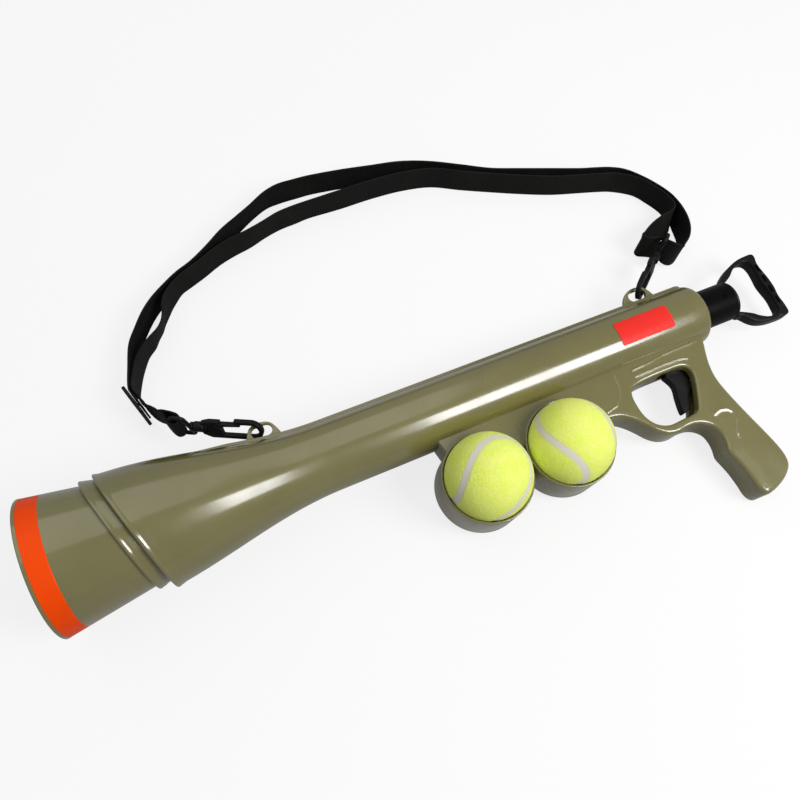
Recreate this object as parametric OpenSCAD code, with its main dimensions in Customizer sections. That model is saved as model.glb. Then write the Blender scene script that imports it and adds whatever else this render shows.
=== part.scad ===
// Spring-driven launcher for tennis balls, with two ball cups and a sling, lying on its right side.
// Launcher axes: x runs along the barrel from the muzzle rim to the rear, y is up in use, z is to the left.
// Grip axes: the same directions, from the point on the barrel's underside above the trigger.

/* [Muzzle] */
// Outer radius of the muzzle rim
rim_r = 49; // [47:0.5:54]
// Wall of the muzzle cone
muzzle_wall = 2.4; // [2:0.1:2.8]
// Length of the muzzle cone
muzzle_l = 86; // [82:1:92]
// Distance from the rim to the band
band_x = 2.5; // [1.5:0.5:8]
// Width of the band
band_w = 13; // [6:0.5:18]
// Thickness of the band
band_t = 0.9; // [0.5:0.1:1.2]
// Height of the collar over the muzzle cone
collar_h = 2.2; // [1.2:0.1:3]
// Gap between the collar and the inside of the horn
collar_gap = 1.8; // [0.5:0.1:2.5]
// Place of the collar's front edge on the barrel axis
collar_x = 52; // [46:0.5:54]
// Slant of the collar and of the horn's front edge, in degrees
slant = 16.6; // [8:0.1:18]

/* [Horn and barrel] */
// Place of the horn's front edge on the barrel axis
horn_x = 62; // [60:0.5:66]
// Radius of the horn's bell
bell_r = 46.3; // [46:0.1:49]
// Place where the flare starts
flare_x = 45; // [42:0.5:48]
// Length of the flare
flare_l = 160; // [150:1:170]
// Radius of the barrel behind the flare
barrel_r = 25.5; // [25.2:0.1:28]
// Radius of the barrel at its rear end
rear_r = 24.4; // [24.2:0.1:25]
// Length of the body from the rim to its rear face
body_l = 524; // [522:1:540]
// Rounding of the rear edge
rear_round = 5; // [2:0.5:7]
// Wall of the shells at the bell
shell_wall = 2.6; // [2.2:0.1:3]
// Radius of the bore behind the flare
bore_r = 21.6; // [21:0.1:21.8]
// Wall behind the bore
rear_wall = 3.5; // [2.5:0.1:5]
// Height of the rib along the top
rib_h = 2.2; // [1:0.1:4]
// Width of the rib along the top
rib_w = 10; // [6:0.5:14]
// Start of the rib
rib_x = 95; // [90:1:110]

/* [Balls and cups] */
// Radius of a ball
ball_r = 32; // [31.4:0.1:32.6]
// Gap between a ball and its cup
ball_gap = 0.3; // [0.3:0.05:0.8]
// Wall of a cup
cup_wall = 1.8; // [1.2:0.1:2.4]
// Distance from the body's rear face to the middle of the front cup
cup_set = 224; // [220:1:228]
// Distance between the rims of the two cups
cup_space = 0.5; // [0.3:0.1:3]
// Gap between the barrel and a cup
cup_drop = 0.9; // [0.3:0.1:3]
// Depth of a cup's back behind the middle plane
cup_back = 17.5; // [16:0.5:20]
// Height of a cup's rim over the middle plane
cup_rim = 16; // [12:0.5:17]
// Floor of a cup
cup_floor = 2.6; // [2:0.1:4]

/* [Grip and guard] */
// Distance from the body's rear face to the trigger pin
grip_set = 44; // [42:0.5:46]
// Half thickness of the web and the guard
web_half = 12; // [11.5:0.1:13.5]
// Half thickness of the grip's swell
grip_half = 14; // [13:0.1:16]
// Half width of the space for the trigger and the sear
lock_half = 8; // [7:0.1:9]
// Half width of the hollow in the grip
hollow_half = 10; // [8:0.1:11]

/* [Spring drive] */
// Radius of the cocking tube
tube_r = 16; // [15:0.1:16.2]
// Wall of the cocking tube
tube_wall = 2.8; // [2:0.1:4]
// Length of the tube that stands out of the body
tube_out = 32; // [28:1:40]
// Place of the striker's face
striker_x = 152; // [150:1:158]
// Length of the striker head
striker_l = 14; // [10:1:20]
// Thickness of the striker pad
pad_t = 6; // [3:0.5:10]
// Place of the spring collar's rear face
collar_seat_x = 225; // [220:1:232]
// Length of the spring collar
collar_l = 10; // [6:0.5:14]
// Place of the spring stop's front face
stop_x = 408; // [400:1:410]
// Length of the spring stop
stop_l = 10; // [6:0.5:12]
// Length of the rear bush
bush_l = 14; // [8:0.5:20]
// Wire of the main spring
spring_wire = 2.4; // [1.6:0.1:2.8]
// Curls of the main spring
spring_turns = 16; // [10:1:20]
// Travel of the cocking handle
travel = 120; // [100:1:122]
// Depth of the catch groove in the tube
catch_depth = 1.5; // [0.8:0.1:1.8]

/* [Trigger and sear] */
// Half thickness of the trigger and the sear
lever_half = 4; // [3:0.1:4.2]
// Radius of the trigger pin
trigger_pin_r = 2; // [1.5:0.1:2.4]
// Radius of the sear pin
sear_pin_r = 1.6; // [1.2:0.1:2]
// Length of the sear's nose along the barrel
nose_l = 8; // [6:0.5:9]

/* [Handle] */
// Half thickness of the handle's arms
arm_half = 5; // [4:0.1:7]
// Half thickness of the handle's bar
bar_half = 6; // [5:0.1:8]
// Radius of the handle's cross pin
handle_pin_r = 2; // [1.5:0.1:3]
// Length of the handle's spigot in the tube
spigot_l = 20; // [14:1:26]

/* [Sling] */
// Width of the webbing
webbing_w = 25; // [20:0.5:26]
// Thickness of the webbing
webbing_t = 1.6; // [1:0.1:2]
// Half width of a lug's slot
lug_hole_r = 4.3; // [4.1:0.1:4.5]
// Distance between the round ends of a lug's slot
lug_slot = 7; // [6:0.5:8]
// Half thickness of a lug
lug_half = 2; // [1.5:0.1:2.2]
// Half thickness of a hook
hook_half = 2; // [1.5:0.1:2.2]
// Inner radius of a hook's crook
crook_r = 5.6; // [5.4:0.1:6.2]
// Width of a hook's rod
hook_rod = 3.2; // [2.6:0.1:3.4]
// Length of a hook from its swivel to its crook
hook_l = 40; // [36:0.5:44]
// Rod of a swivel loop
loop_rod = 3.4; // [2.6:0.1:4]
// Depth of a swivel loop
loop_l = 13; // [11:0.5:16]
// Length of the slider along the webbing
slider_l = 27; // [24:1:30]
// Thickness of the slider
slider_t = 2.6; // [2:0.1:4]

/* [Hidden] */
$fn = 64;

// Clearances: between bodies that move, of a running shaft, and between fixed pieces that seat in each other
move_gap = 0.3;
run_gap = 0.05;
seat_gap = 0.02;
big = 1200;
olive = [0.46, 0.44, 0.29];
black = [0.06, 0.06, 0.06];
orange = [1, 0.3, 0.02];

// Place of the part in its own frame: the middle of its box, on the floor
centre_x = 299.38;
centre_y = 51.53;

// Rings along the flare, and the flare's share at a place
flare_steps = 14;
function flare(x) = (1 + cos(180 * min(1, max(0, (x - flare_x) / flare_l)))) / 2;
flare_end = flare_x + flare_l;
function barrel_at(x) = barrel_r + (rear_r - barrel_r) * max(0, (x - flare_end) / (body_l - flare_end));
function outer_at(x) = barrel_at(x) + (bell_r - barrel_r) * flare(x);
function inner_at(x) = bore_r + (bell_r - shell_wall - bore_r) * flare(x);
flare_places = [for (i = [0:flare_steps]) flare_x + flare_l * i / flare_steps];
band_end = band_x + band_w;
muzzle_seat_l = 6;
seat_ease = 0.1;
neck_r = inner_at(horn_x) - collar_h - collar_gap;
function muzzle_at(x) = rim_r - (rim_r - neck_r) * x / horn_x;
bore_end = body_l - rear_wall;
trigger_x = body_l - grip_set;
striker_gap = 1;
striker_r = bore_r - striker_gap;
pad_r = striker_r - 2.5;
spring_r = (bore_r + tube_r) / 2;
plug_r = tube_r - tube_wall - seat_gap;
plug_l = 20;
rear_hole_gap = 0.6;

// Curve through the points of a closed outline, or of an open route
function between(a, b, c, d, t) =
    (2 * b + (c - a) * t + (2 * a - 5 * b + 4 * c - d) * t * t + (3 * b - a - 3 * c + d) * t * t * t) / 2;
function closed_curve(p, n) = [for (i = [0:len(p) - 1]) for (j = [0:n - 1])
    between(p[(i + len(p) - 1) % len(p)], p[i], p[(i + 1) % len(p)], p[(i + 2) % len(p)], j / n)];
function open_curve(p, n) = concat([for (i = [0:len(p) - 2]) for (j = [0:n - 1])
    between(p[max(0, i - 1)], p[i], p[i + 1], p[min(len(p) - 1, i + 2)], j / n)], [p[len(p) - 1]]);
curve_steps = 3;

// Resting pose: the rim, the rear of the barrel and the butt of the grip touch the floor
butt = [28.5, -117.7];
rest_x = body_l - rear_round;
pitch = atan((rim_r - rear_r) / rest_x);
butt_x = trigger_x + butt[0];
butt_y = barrel_r - butt[1];
butt_drop = rim_r - butt_x * tan(pitch);
roll = asin(butt_drop / norm([butt_y, grip_half])) - atan2(grip_half, butt_y);
lift = rim_r * cos(pitch);
function rolled(p) = [p[0], p[1] * cos(roll) - p[2] * sin(roll), p[1] * sin(roll) + p[2] * cos(roll)];
function pitched(p) = [p[0] * cos(pitch) + p[2] * sin(pitch), p[1], p[2] * cos(pitch) - p[0] * sin(pitch)];
function laid(p) = pitched(rolled(p)) + [0, 0, lift];

// Ball cups
cup_x = body_l - cup_set;
cup_r = ball_r + ball_gap + cup_wall;
rear_cup_x = cup_x + 2 * cup_r + cup_space;
cup_y = -barrel_r - cup_drop - cup_r;
ball_z = ball_r + ball_gap + cup_floor - cup_back;

// Outlines of the web, guard and grip, in the grip's axes
frame_points = [[-100, 8], [-100, -29], [-78, -29.2], [-65, -31], [-56, -37], [-49, -44.5], [-43, -52],
    [-36, -57.1], [-28, -59], [-19, -58.1], [-11, -58.7], [-4, -61.7], [1, -67], [2.6, -74], [2, -80.5],
    [0.6, -86.5], [2.3, -93.5], [4.2, -101.5], [5.5, -111.5], [6.2, -120.5], [10, -126.3], [17, -126.1],
    [26, -123.3], [34, -119.1], [39.6, -113.5], [41.2, -106], [40, -96.5], [36.8, -84], [32.5, -69],
    [28.6, -54.5], [25.6, -41.5], [24.3, -30.5], [26.3, -19.5], [30.5, -9.5], [36, -1], [38, 8]];
swell_points = [[12, -50], [8.5, -62], [6, -75], [5.5, -87], [7.5, -97], [9, -108], [10, -118], [14, -122],
    [24, -119.5], [33, -114.5], [36.5, -107], [35.5, -97], [32, -83.5], [27.8, -68.5], [24, -54], [20, -46]];
guard_points = [[-43, -15], [-46.2, -19.5], [-47, -26.5], [-46, -36.5], [-42.5, -44], [-37, -49],
    [-30, -51.5], [-20, -51.3], [-10, -50.7], [-4, -49], [-0.5, -43.5], [5, -31.5], [8, -22.5],
    [7, -16.5], [2, -13.3], [-10, -12.7], [-30, -12.9]];
lock_points = [[-83, 0.5], [-83, -23], [-77, -26.6], [-54, -26.6], [-49.5, -18.5], [-48, -10.1], [22, -10.1],
    [22, 0.5]];
hollow_points = [[11, -9], [21.5, -9], [21, -30.5], [22, -42.5], [25, -55.5], [29, -70.5], [33, -85.5],
    [36.5, -98.5], [37.5, -106.5], [36, -111.5], [31, -115.5], [24, -119], [15, -121.5], [10.5, -120.5],
    [9.5, -111.5], [8, -98.5], [6.5, -86.5], [6.5, -74.5], [6, -66], [9, -54], [11.5, -41], [13, -26.5]];
slot_points = [[-16, -9], [-16, -14], [-6, -50.2], [3, -50.5], [14.5, -34], [16, -9]];

// Trigger and sear, in the grip's axes
trigger_pin = [0, -7.5];
trigger_boss_r = 5.5;
trigger_back = 7.5;
trigger_points = [[-10, -14.5], [-6.5, -23.5], [-9, -33.5], [-11, -42.5], [-10.5, -46.5], [-4, -45],
    [1, -34.5], [trigger_back, -30], [trigger_back, -22], [5, -7], [0, -0.2], [-12.5, -0.2], [-12.5, -2.7],
    [-6.8, -2.7], [-5, -8]];
trigger_spring_y = -26;
trigger_spring_end = 20.6;
trigger_spring_r = 2.8;
trigger_wire = 0.7;
trigger_turns = 6;
sear_pin = [-75, -5];
sear_boss_r = 4;
sear_top = -3;
sear_bottom = -6.8;
sear_front = -79;
sear_tail = -8;
nose_x = -49;
sear_spring_x = -60;
sear_spring_foot = -26.3;
sear_spring_r = 3.2;
sear_wire = 0.8;
sear_turns = 6;
pin_boss_r = 4.5;
pin_half = lock_half + 2.2;
boss_gap = 0.4;
slot_half = lever_half + 1;
window_gap = 3;
catch_x = trigger_x + nose_x - travel - 1;

// Screws that hold the shells together: above the cups, behind the rear cup, and two down the grip
cup_screw_rise = 19;
web_screw_back = 23;
web_screw_drop = 5.5;
grip_screw_back = 17;
grip_screw_drop = 60.5;
butt_screw_back = 25;
butt_screw_drop = 102.5;
screw_places = [[(cup_x + rear_cup_x) / 2, cup_y + cup_screw_rise],
    [rear_cup_x + web_screw_back, -barrel_r - web_screw_drop],
    [trigger_x + grip_screw_back, -barrel_r - grip_screw_drop],
    [trigger_x + butt_screw_back, -barrel_r - butt_screw_drop]];
screw_r = 1.5;
screw_head_r = 3;
screw_head_t = 2.4;
screw_seat_z = -7;
screw_end_z = 7.5;
screw_tip_gap = 0.5;
screw_head_gap = 0.2;
post_r = 4.5;

// Handle, from the end of the tube
handle_outer = [[0.6, 14], [4, 16.5], [8, 19.8], [15, 24], [23, 27.2], [30, 29], [37, 29.6], [43.5, 29.3],
    [45, 25.5], [43.5, 19.5], [44, 12.5], [45.2, 4], [45.4, -5], [44.2, -13], [44.8, -20], [44.6, -28],
    [42, -30.3], [32, -30.6], [22, -29.6], [14.5, -27.2], [9.5, -23.5], [4.5, -17.5], [0.6, -14]];
handle_inner = [[1.8, 6], [3.5, 12], [9, 14.8], [14.5, 17.6], [19.5, 21.5], [25.5, 24.8], [31.5, 25.2],
    [36.3, 22.8], [37.8, 17.2], [37.4, 10.5], [36.6, 3.4], [37.2, -3.4], [38.2, -11], [37.6, -18.5],
    [36.5, -24], [32, -26.6], [25.5, -26], [19, -22.5], [14, -18.5], [8.5, -15.5], [3.5, -12.5], [1.8, -6]];
hub_l = 2.4;
pin_sink = 0.4;
bar_x = 35.5;
handle_x = body_l + tube_out;

// Sling lugs and the way each hook pulls, on the launcher's axes
lug_rise = 4.9;
function on_rib(x) = [x, outer_at(x) + rib_h + lug_rise, 0];
front_lug_set = 39.5;
front_lug = on_rib(flare_end - front_lug_set);
front_pull = [-44.6, 25.8, -12];
front_lug_points = [[-15, -11], [-11.5, 1], [-6, 7.6], [7.5, 6.4], [12, -3], [14, -11]];
rear_lug_set = 37;
rear_lug = on_rib(body_l - rear_lug_set);
rear_pull = [42.5, 31.6, -10];
rear_lug_points = [[-18.5, -11], [-13, 1], [-6, 6.5], [3, 7.4], [10.5, 4], [16, -11]];
front_turn = -25;
rear_turn = 25;
hook_side = 3.2;
hook_reach = hook_l + crook_r + hook_rod / 2;
eye_x = 18;
tongue_root = [14.5, 4.2];
tongue_root_r = 1.9;
tongue_t = 1.8;
tongue_end = hook_l - 8;
tongue_swing = 22;
nose_end = hook_l - 12;
swivel_r = 1.5;
swivel_base_r = 4;
swivel_base_l = 8;
swivel_head_t = 2;
swivel_head_r = 2.8;
yoke_l = 3;
yoke_r = 3.4;
loop_slack = 2;
loop_end_x = swivel_base_l / 2 + move_gap + yoke_l - 1 + loop_l;
loop_bar_x = loop_end_x - loop_rod / 2;
function unit(v) = v / norm(v);
function hook_origin(lug, pull) = lug + [0, 0, hook_side] + unit(pull) * hook_reach;
function loop_bar(lug, pull) = laid(hook_origin(lug, pull) + unit(pull) * loop_bar_x);

// Slider, standing on the floor
slider_place = [85.3, 105.5];
slider_turn = 106;
slider_h = webbing_w + 6;
slider_slot = 6.5;
slider_bar = 3.4;

// Routes of the webbing over the floor: place, rise over the floor and lean, in degrees, away from the barrel
webbing_clear = 0.2;
strap_steps = 2;
slider_along = [cos(slider_turn), sin(slider_turn)];
slider_side = [-slider_along[1], slider_along[0]];
side_gap = slider_t / 2 + webbing_t / 2 + 2 * move_gap;
front_bar = loop_bar(front_lug, front_pull);
rear_bar = loop_bar(rear_lug, rear_pull);
function at_slider(along, side, rise) =
    concat(slider_place + slider_along * along + slider_side * side, [rise, 0]);
function rise_to(bar) = bar[2] - webbing_w / 2 - webbing_clear;
bar_gap = loop_rod / 2 + webbing_t / 2 + move_gap;
rear_way = unit([rear_pull[0], rear_pull[1]]);
rear_side = [rear_way[1], -rear_way[0]];
front_way = unit([front_pull[0], front_pull[1]]);
front_side = [front_way[1], -front_way[0]];
function at_bar(bar, way, side, along, off, lean) =
    concat([bar[0], bar[1]] + way * along + side * off, [rise_to(bar), lean]);
fold_gap = 1;
layer = webbing_t + 0.8;
bar_lean = 10;
function behind(points) = [for (p = points) p + [body_l, 0, 0, 0]];
outer_route = concat(
    [at_slider(-9, -side_gap, 3), at_slider(3, -side_gap, 3), at_slider(11, -side_gap - 0.6, 2.5)],
    [[90, 135, 1, 0], [96.5, 153.5, 0, 3], [105, 166.5, 0, 2], [114.5, 178.5, 0, 2], [124, 187.5, 0, 1],
    [134, 194.5, 0, 0], [149, 203, 0, 0], [164, 209, 0, 0], [180, 218, 0, 0], [197, 229, 0, 0],
    [212.5, 237, 0, -3], [227, 244.5, 0, -6], [243, 252, 0, -3], [257, 254.3, 0, 3], [272, 253.7, 0, 3],
    [287, 252.5, 0, 2], [313, 248, 0, 2], [340, 242, 0, 2], [366, 236, 0, 2], [390, 226, 0, 2],
    [414, 212, 0, 2], [437, 198, 0, 2], [461, 187.5, 0, 2], [486, 177, 0, 2]],
    behind([[-13, 166.5, 0, 2], [0, 162, 0, 2], [13, 157, 0, 2], [24.5, 150, 0, 1], [34, 139, 0, 0],
    [42, 126, 0, 0], [47.5, 112.5, 0, 2], [49, 100, 0, 5], [47.5, 88, 0, 10], [44.5, 77, 0, 8],
    [39.5, 68, 0, 3], [32, 62, 1, 0], [23.5, 58.5, 3, -4]]),
    [at_bar(rear_bar, rear_way, rear_side, -bar_gap, 9, -bar_lean),
    at_bar(rear_bar, rear_way, rear_side, -bar_gap, fold_gap, -bar_lean)]);
return_route = concat([at_slider(2, -side_gap - layer, 3), at_slider(10, -side_gap - layer - 0.4, 2.5)],
    [[92, 129, 1, 0], [97.5, 140, 0, 0], [105, 149.5, 0, -4], [112.5, 155.5, 0, -5], [118.5, 161, 0, -12],
    [123.5, 166.5, 0, -12], [127, 173, 0, -9], [130.5, 180, 0, -1], [135, 186.5, 0, 2], [140.5, 192, 0, 2],
    [147.5, 197.5, 0, 0], [155.5, 201, 0, 2], [170.5, 206.5, 0, 2], [186, 213, 0, 2], [201, 217, 0, 2],
    [216, 219.5, 0, 1], [231.5, 223.5, 0, -2], [246.5, 227, 0, 0], [261, 228, 0, 1], [275.5, 228.5, 0, -1],
    [304, 227.5, 0, 2], [333, 227, 0, 2], [362, 224.5, 0, 2], [389, 218, 0, 2], [413, 204.5, 0, 2],
    [437.5, 191.5, 0, 2], [462, 179, 0, 2], [487, 167.5, 0, 2]],
    behind([[-10.5, 158.5, 0, 2], [3, 154, 0, 2], [16.5, 148.5, 0, 2], [32, 137, 0, 0], [39.5, 124.5, 0, 0],
    [45, 111.5, 0, 0], [46, 101, 0, 0], [42, 94, 0, -12], [32, 90, 0, -30], [21, 86.5, 1, -30],
    [10, 83, 2, -15], [2.5, 79.5, 3, 0]]),
    [at_bar(rear_bar, rear_way, rear_side, -bar_gap, -9, bar_lean),
    at_bar(rear_bar, rear_way, rear_side, -bar_gap, -fold_gap, bar_lean)]);
front_route = concat([at_slider(-2, -side_gap - layer, 3), at_slider(-12, -side_gap - layer - 1, 4.5)],
    [[99.5, 87.5, 10.5, 0], [105, 79, 16.5, 0]],
    [at_bar(front_bar, front_way, front_side, 5, bar_gap + 2.8, 0),
    at_bar(front_bar, front_way, front_side, -1, bar_gap + 1.5, 0)]);

// Parts of the launcher lie on the floor in the resting pose, and floor pieces stay upright
module lying() {
    translate([-centre_x, -centre_y, lift]) rotate([0, pitch, 0]) rotate([roll, 0, 0]) children();
}
module on_floor() {
    translate([-centre_x, -centre_y, 0]) children();
}
module in_grip() {
    translate([trigger_x, -barrel_r, 0]) children();
}
module along_barrel() {
    rotate([0, 90, 0]) rotate_extrude() children();
}
module rod(r, x, l) {
    translate([x, 0, 0]) rotate([0, 90, 0]) cylinder(r = r, h = l);
}
module ring(r_out, r_in, x, l) {
    difference() {
        rod(r_out, x, l);
        rod(r_in, x - 1, l + 2);
    }
}
module plate(half) {
    translate([0, 0, -half]) linear_extrude(2 * half) children();
}

// What lies behind a slanted plane that crosses the barrel axis at x
module behind_slant(x) {
    intersection() {
        children();
        translate([x, 0, 0]) rotate([0, 0, slant]) translate([0, -big / 2, -big / 2]) cube(big);
    }
}

// Wire coiled around z, with its ends at 0 and the given length
function coil_line(r, length, turns, wire) = [for (i = [0:8 * turns])
    [r * cos(45 * i), r * sin(45 * i), wire / 2 + (length - wire) * i / (8 * turns)]];
module coil(r, wire, length, turns) {
    line = coil_line(r, length, turns, wire);
    last = len(line) - 1;
    points = [for (i = [0:last]) for (k = [0:5])
        let (out = wire / 2 * cos(60 * k))
        line[i] + [out * cos(45 * i), out * sin(45 * i), wire / 2 * sin(60 * k)]];
    sides = [for (i = [0:last - 1]) for (k = [0:5]) for (face = [0, 1])
        let (a = 6 * i + k, b = 6 * i + (k + 1) % 6)
        face == 0 ? [a, b, a + 6] : [b, b + 6, a + 6]];
    caps = [for (k = [1:4]) for (end = [0, 1])
        end == 0 ? [0, k + 1, k] : [6 * last, 6 * last + k, 6 * last + k + 1]];
    gap = min([for (i = [0:last - 8]) norm(line[i + 8] - line[i]) - wire]);
    echo(least_gap_between_curls = gap);
    polyhedron(points, concat(sides, caps));
}

// Webbing along a route, standing on its edge
module webbing(route) {
    line = open_curve(route, strap_steps);
    last = len(line) - 1;
    points = [for (i = [0:last])
        let (ahead = line[min(last, i + 1)] - line[max(0, i - 1)],
            along = unit([ahead[0], ahead[1], ahead[2]]),
            side = unit([-along[1], along[0], 0]),
            lean = line[i][3],
            across = unit(cross(along, side) * cos(lean) + side * sin(lean)),
            face = unit(cross(across, along)),
            height = webbing_w / 2 * cos(lean) + webbing_t / 2 * abs(sin(lean)) + webbing_clear,
            middle = [line[i][0], line[i][1], height + line[i][2]])
        for (k = [[-1, -1], [1, -1], [1, 1], [-1, 1]])
        middle + across * k[0] * webbing_w / 2 + face * k[1] * webbing_t / 2];
    sides = [for (i = [0:last - 1]) for (k = [0:3]) for (half = [0, 1])
        let (a = 4 * i + k, b = 4 * i + (k + 1) % 4)
        half == 0 ? [a, b, a + 4] : [b, b + 4, a + 4]];
    end = 4 * last;
    caps = [[0, 2, 1], [0, 3, 2], [end, end + 1, end + 2], [end, end + 2, end + 3]];
    polyhedron(points, concat(sides, caps));
}

// Outside of both shells
module horn_and_barrel() {
    rounding = [for (a = [0:15:90])
        [rear_r - rear_round + rear_round * cos(a), body_l - rear_round + rear_round * sin(a)]];
    bell = [for (x = flare_places) [outer_at(x), x]];
    along_barrel() polygon(concat([[0, flare_x]], bell, rounding, [[0, body_l]]));
}
module rib() {
    places = [for (i = [0:8]) rib_x + (flare_end - rib_x) * i / 8];
    plate(rib_w / 2) polygon(concat([[rib_x - 12, outer_at(rib_x - 12) - 2]],
        [for (x = places) [x, outer_at(x) + rib_h]],
        [[rest_x, rear_r + rib_h], [rest_x, 0], [flare_end, 0]]));
}
module lug(place, points) {
    translate([place[0], place[1], 0]) plate(lug_half) polygon(points);
}
module cup_web() {
    plate(web_half) polygon([[cup_x - 23, -barrel_r + 10], [cup_x - 19, cup_y + 25], [cup_x, cup_y + 10],
        [rear_cup_x, cup_y + 10], [rear_cup_x + cup_r, -barrel_r], [rear_cup_x + cup_r, -barrel_r + 10]]);
}
module at_cups() {
    for (x = [cup_x, rear_cup_x]) translate([x, cup_y, 0]) children();
}
module body_outside() {
    behind_slant(horn_x) horn_and_barrel();
    rib();
    lug(front_lug, front_lug_points);
    lug(rear_lug, rear_lug_points);
    cup_web();
    at_cups() translate([0, 0, -cup_back]) cylinder(r = cup_r, h = cup_back + cup_rim);
    in_grip() plate(web_half) polygon(closed_curve(frame_points, curve_steps));
    in_grip() plate(grip_half) polygon(closed_curve(swell_points, curve_steps));
}

// Spaces in both shells
module body_spaces() {
    in_grip() {
        plate(lock_half) polygon(lock_points);
        plate(hollow_half) polygon(hollow_points);
        plate(slot_half) polygon(slot_points);
        plate(big) polygon(closed_curve(guard_points, curve_steps));
    }
    at_cups() translate([0, 0, cup_floor - cup_back]) cylinder(r = ball_r + ball_gap, h = big);
}
module body_bosses() {
    for (side = [0, 1]) mirror([0, 0, side]) in_grip() {
        for (p = [trigger_pin, sear_pin]) translate([p[0], p[1], lever_half + boss_gap])
            cylinder(r = pin_boss_r, h = lock_half - lever_half);
    }
    for (p = [screw_places[2], screw_places[3]]) translate([p[0], p[1], -hollow_half - 0.5])
        cylinder(r = post_r, h = 2 * hollow_half + 1);
}
module body_holes() {
    along_barrel() polygon(concat([[0, flare_x - 5]], [[inner_at(flare_x), flare_x - 5]],
        [for (x = flare_places) [inner_at(x), x]], [[bore_r, bore_end], [0, bore_end]]));
    rod(tube_r + rear_hole_gap, bore_end - 1, rear_wall + 2);
    in_grip() {
        translate([nose_x - window_gap, -1, -slot_half]) cube([nose_l + 2 * window_gap, 14, 2 * slot_half]);
        translate([trigger_pin[0], trigger_pin[1], -pin_half - 0.2])
            cylinder(r = trigger_pin_r + seat_gap, h = 2 * pin_half + 0.4);
        translate([sear_pin[0], sear_pin[1], -pin_half - 0.2])
            cylinder(r = sear_pin_r + seat_gap, h = 2 * pin_half + 0.4);
    }
    for (p = [front_lug, rear_lug]) translate([p[0], p[1], -2 * lug_half]) {
        for (end = [-1, 1]) translate([end * lug_slot / 2, 0, 0]) cylinder(r = lug_hole_r, h = 4 * lug_half);
        translate([-lug_slot / 2, -lug_hole_r, 0]) cube([lug_slot, 2 * lug_hole_r, 4 * lug_half]);
    }
    for (p = screw_places) translate([p[0], p[1], 0]) {
        translate([0, 0, -big]) cylinder(r = screw_head_r + screw_head_gap, h = big + screw_seat_z);
        translate([0, 0, screw_seat_z - 1])
            cylinder(r = screw_r + seat_gap, h = screw_end_z + screw_tip_gap - screw_seat_z + 1);
    }
}
module shell(side) {
    color(olive) lying() intersection() {
        difference() {
            union() {
                difference() {
                    body_outside();
                    body_spaces();
                }
                body_bosses();
            }
            body_holes();
        }
        translate([-big / 2, -big / 2, side > 0 ? 0 : -big]) cube(big);
    }
}
module left_shell() {
    shell(1);
}
module right_shell() {
    shell(-1);
}

module muzzle_cone() {
    seat_x = muzzle_l - muzzle_seat_l;
    color(olive) lying() difference() {
        union() {
            along_barrel() polygon([[0, 0], [rim_r, 0], [muzzle_at(band_x), band_x],
                [muzzle_at(band_x) - band_t, band_x], [muzzle_at(band_end) - band_t, band_end],
                [muzzle_at(band_end), band_end], [muzzle_at(muzzle_l), muzzle_l], [0, muzzle_l]]);
            behind_slant(collar_x) along_barrel() polygon([[0, 0], [rim_r + collar_h, 0],
                [muzzle_at(muzzle_l) + collar_h, muzzle_l], [0, muzzle_l]]);
            along_barrel() polygon([[0, seat_x], [inner_at(seat_x) - seat_ease, seat_x],
                [inner_at(muzzle_l) - seat_ease, muzzle_l], [0, muzzle_l]]);
        }
        along_barrel() polygon([[0, -1], [muzzle_at(-1) - muzzle_wall, -1],
            [muzzle_at(muzzle_l + 1) - muzzle_wall, muzzle_l + 1], [0, muzzle_l + 1]]);
    }
}
module muzzle_band() {
    front = band_x + seat_gap;
    back = band_end - seat_gap;
    inside = band_t - seat_gap;
    color(orange) lying() along_barrel() polygon([[muzzle_at(front) - inside, front],
        [muzzle_at(front), front], [muzzle_at(back), back], [muzzle_at(back) - inside, back]]);
}
module ball_seat() {
    seat_share = 0.48;
    seat_x = flare_x + seat_share * flare_l;
    seat_l = 18;
    seat_lip = 0.7;
    seat_r = ball_r - 5;
    places = [for (i = [0:4]) seat_x + seat_l * i / 4];
    color(black) lying() along_barrel() polygon(concat([[inner_at(seat_x) - seat_lip, seat_x]],
        [for (x = places) [inner_at(x) - seat_ease, x]], [[seat_r, seat_x + seat_l]]));
}
module case_screws() {
    color("silver") lying() for (p = screw_places) translate([p[0], p[1], 0]) {
        translate([0, 0, screw_seat_z - screw_head_t]) cylinder(r = screw_head_r, h = screw_head_t);
        translate([0, 0, screw_seat_z - 0.5]) cylinder(r = screw_r, h = screw_end_z - screw_seat_z + 0.5);
    }
}
module blank_label() {
    label_set = 35;
    label_l = 48;
    label_x = body_l - label_set - label_l;
    label_t = 0.4;
    label_gap = 0.1;
    from_top = 67;
    label_angle = 46;
    label_end = label_x + label_l;
    color("red") lying() rotate([90 - from_top - label_angle, 0, 0]) rotate([0, 90, 0])
        rotate([0, 0, 180]) rotate_extrude(angle = label_angle, $fn = 96)
        polygon([[barrel_at(label_x) + label_gap, label_x], [barrel_at(label_x) + label_t, label_x],
        [barrel_at(label_end) + label_t, label_end], [barrel_at(label_end) + label_gap, label_end]]);
}

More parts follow.
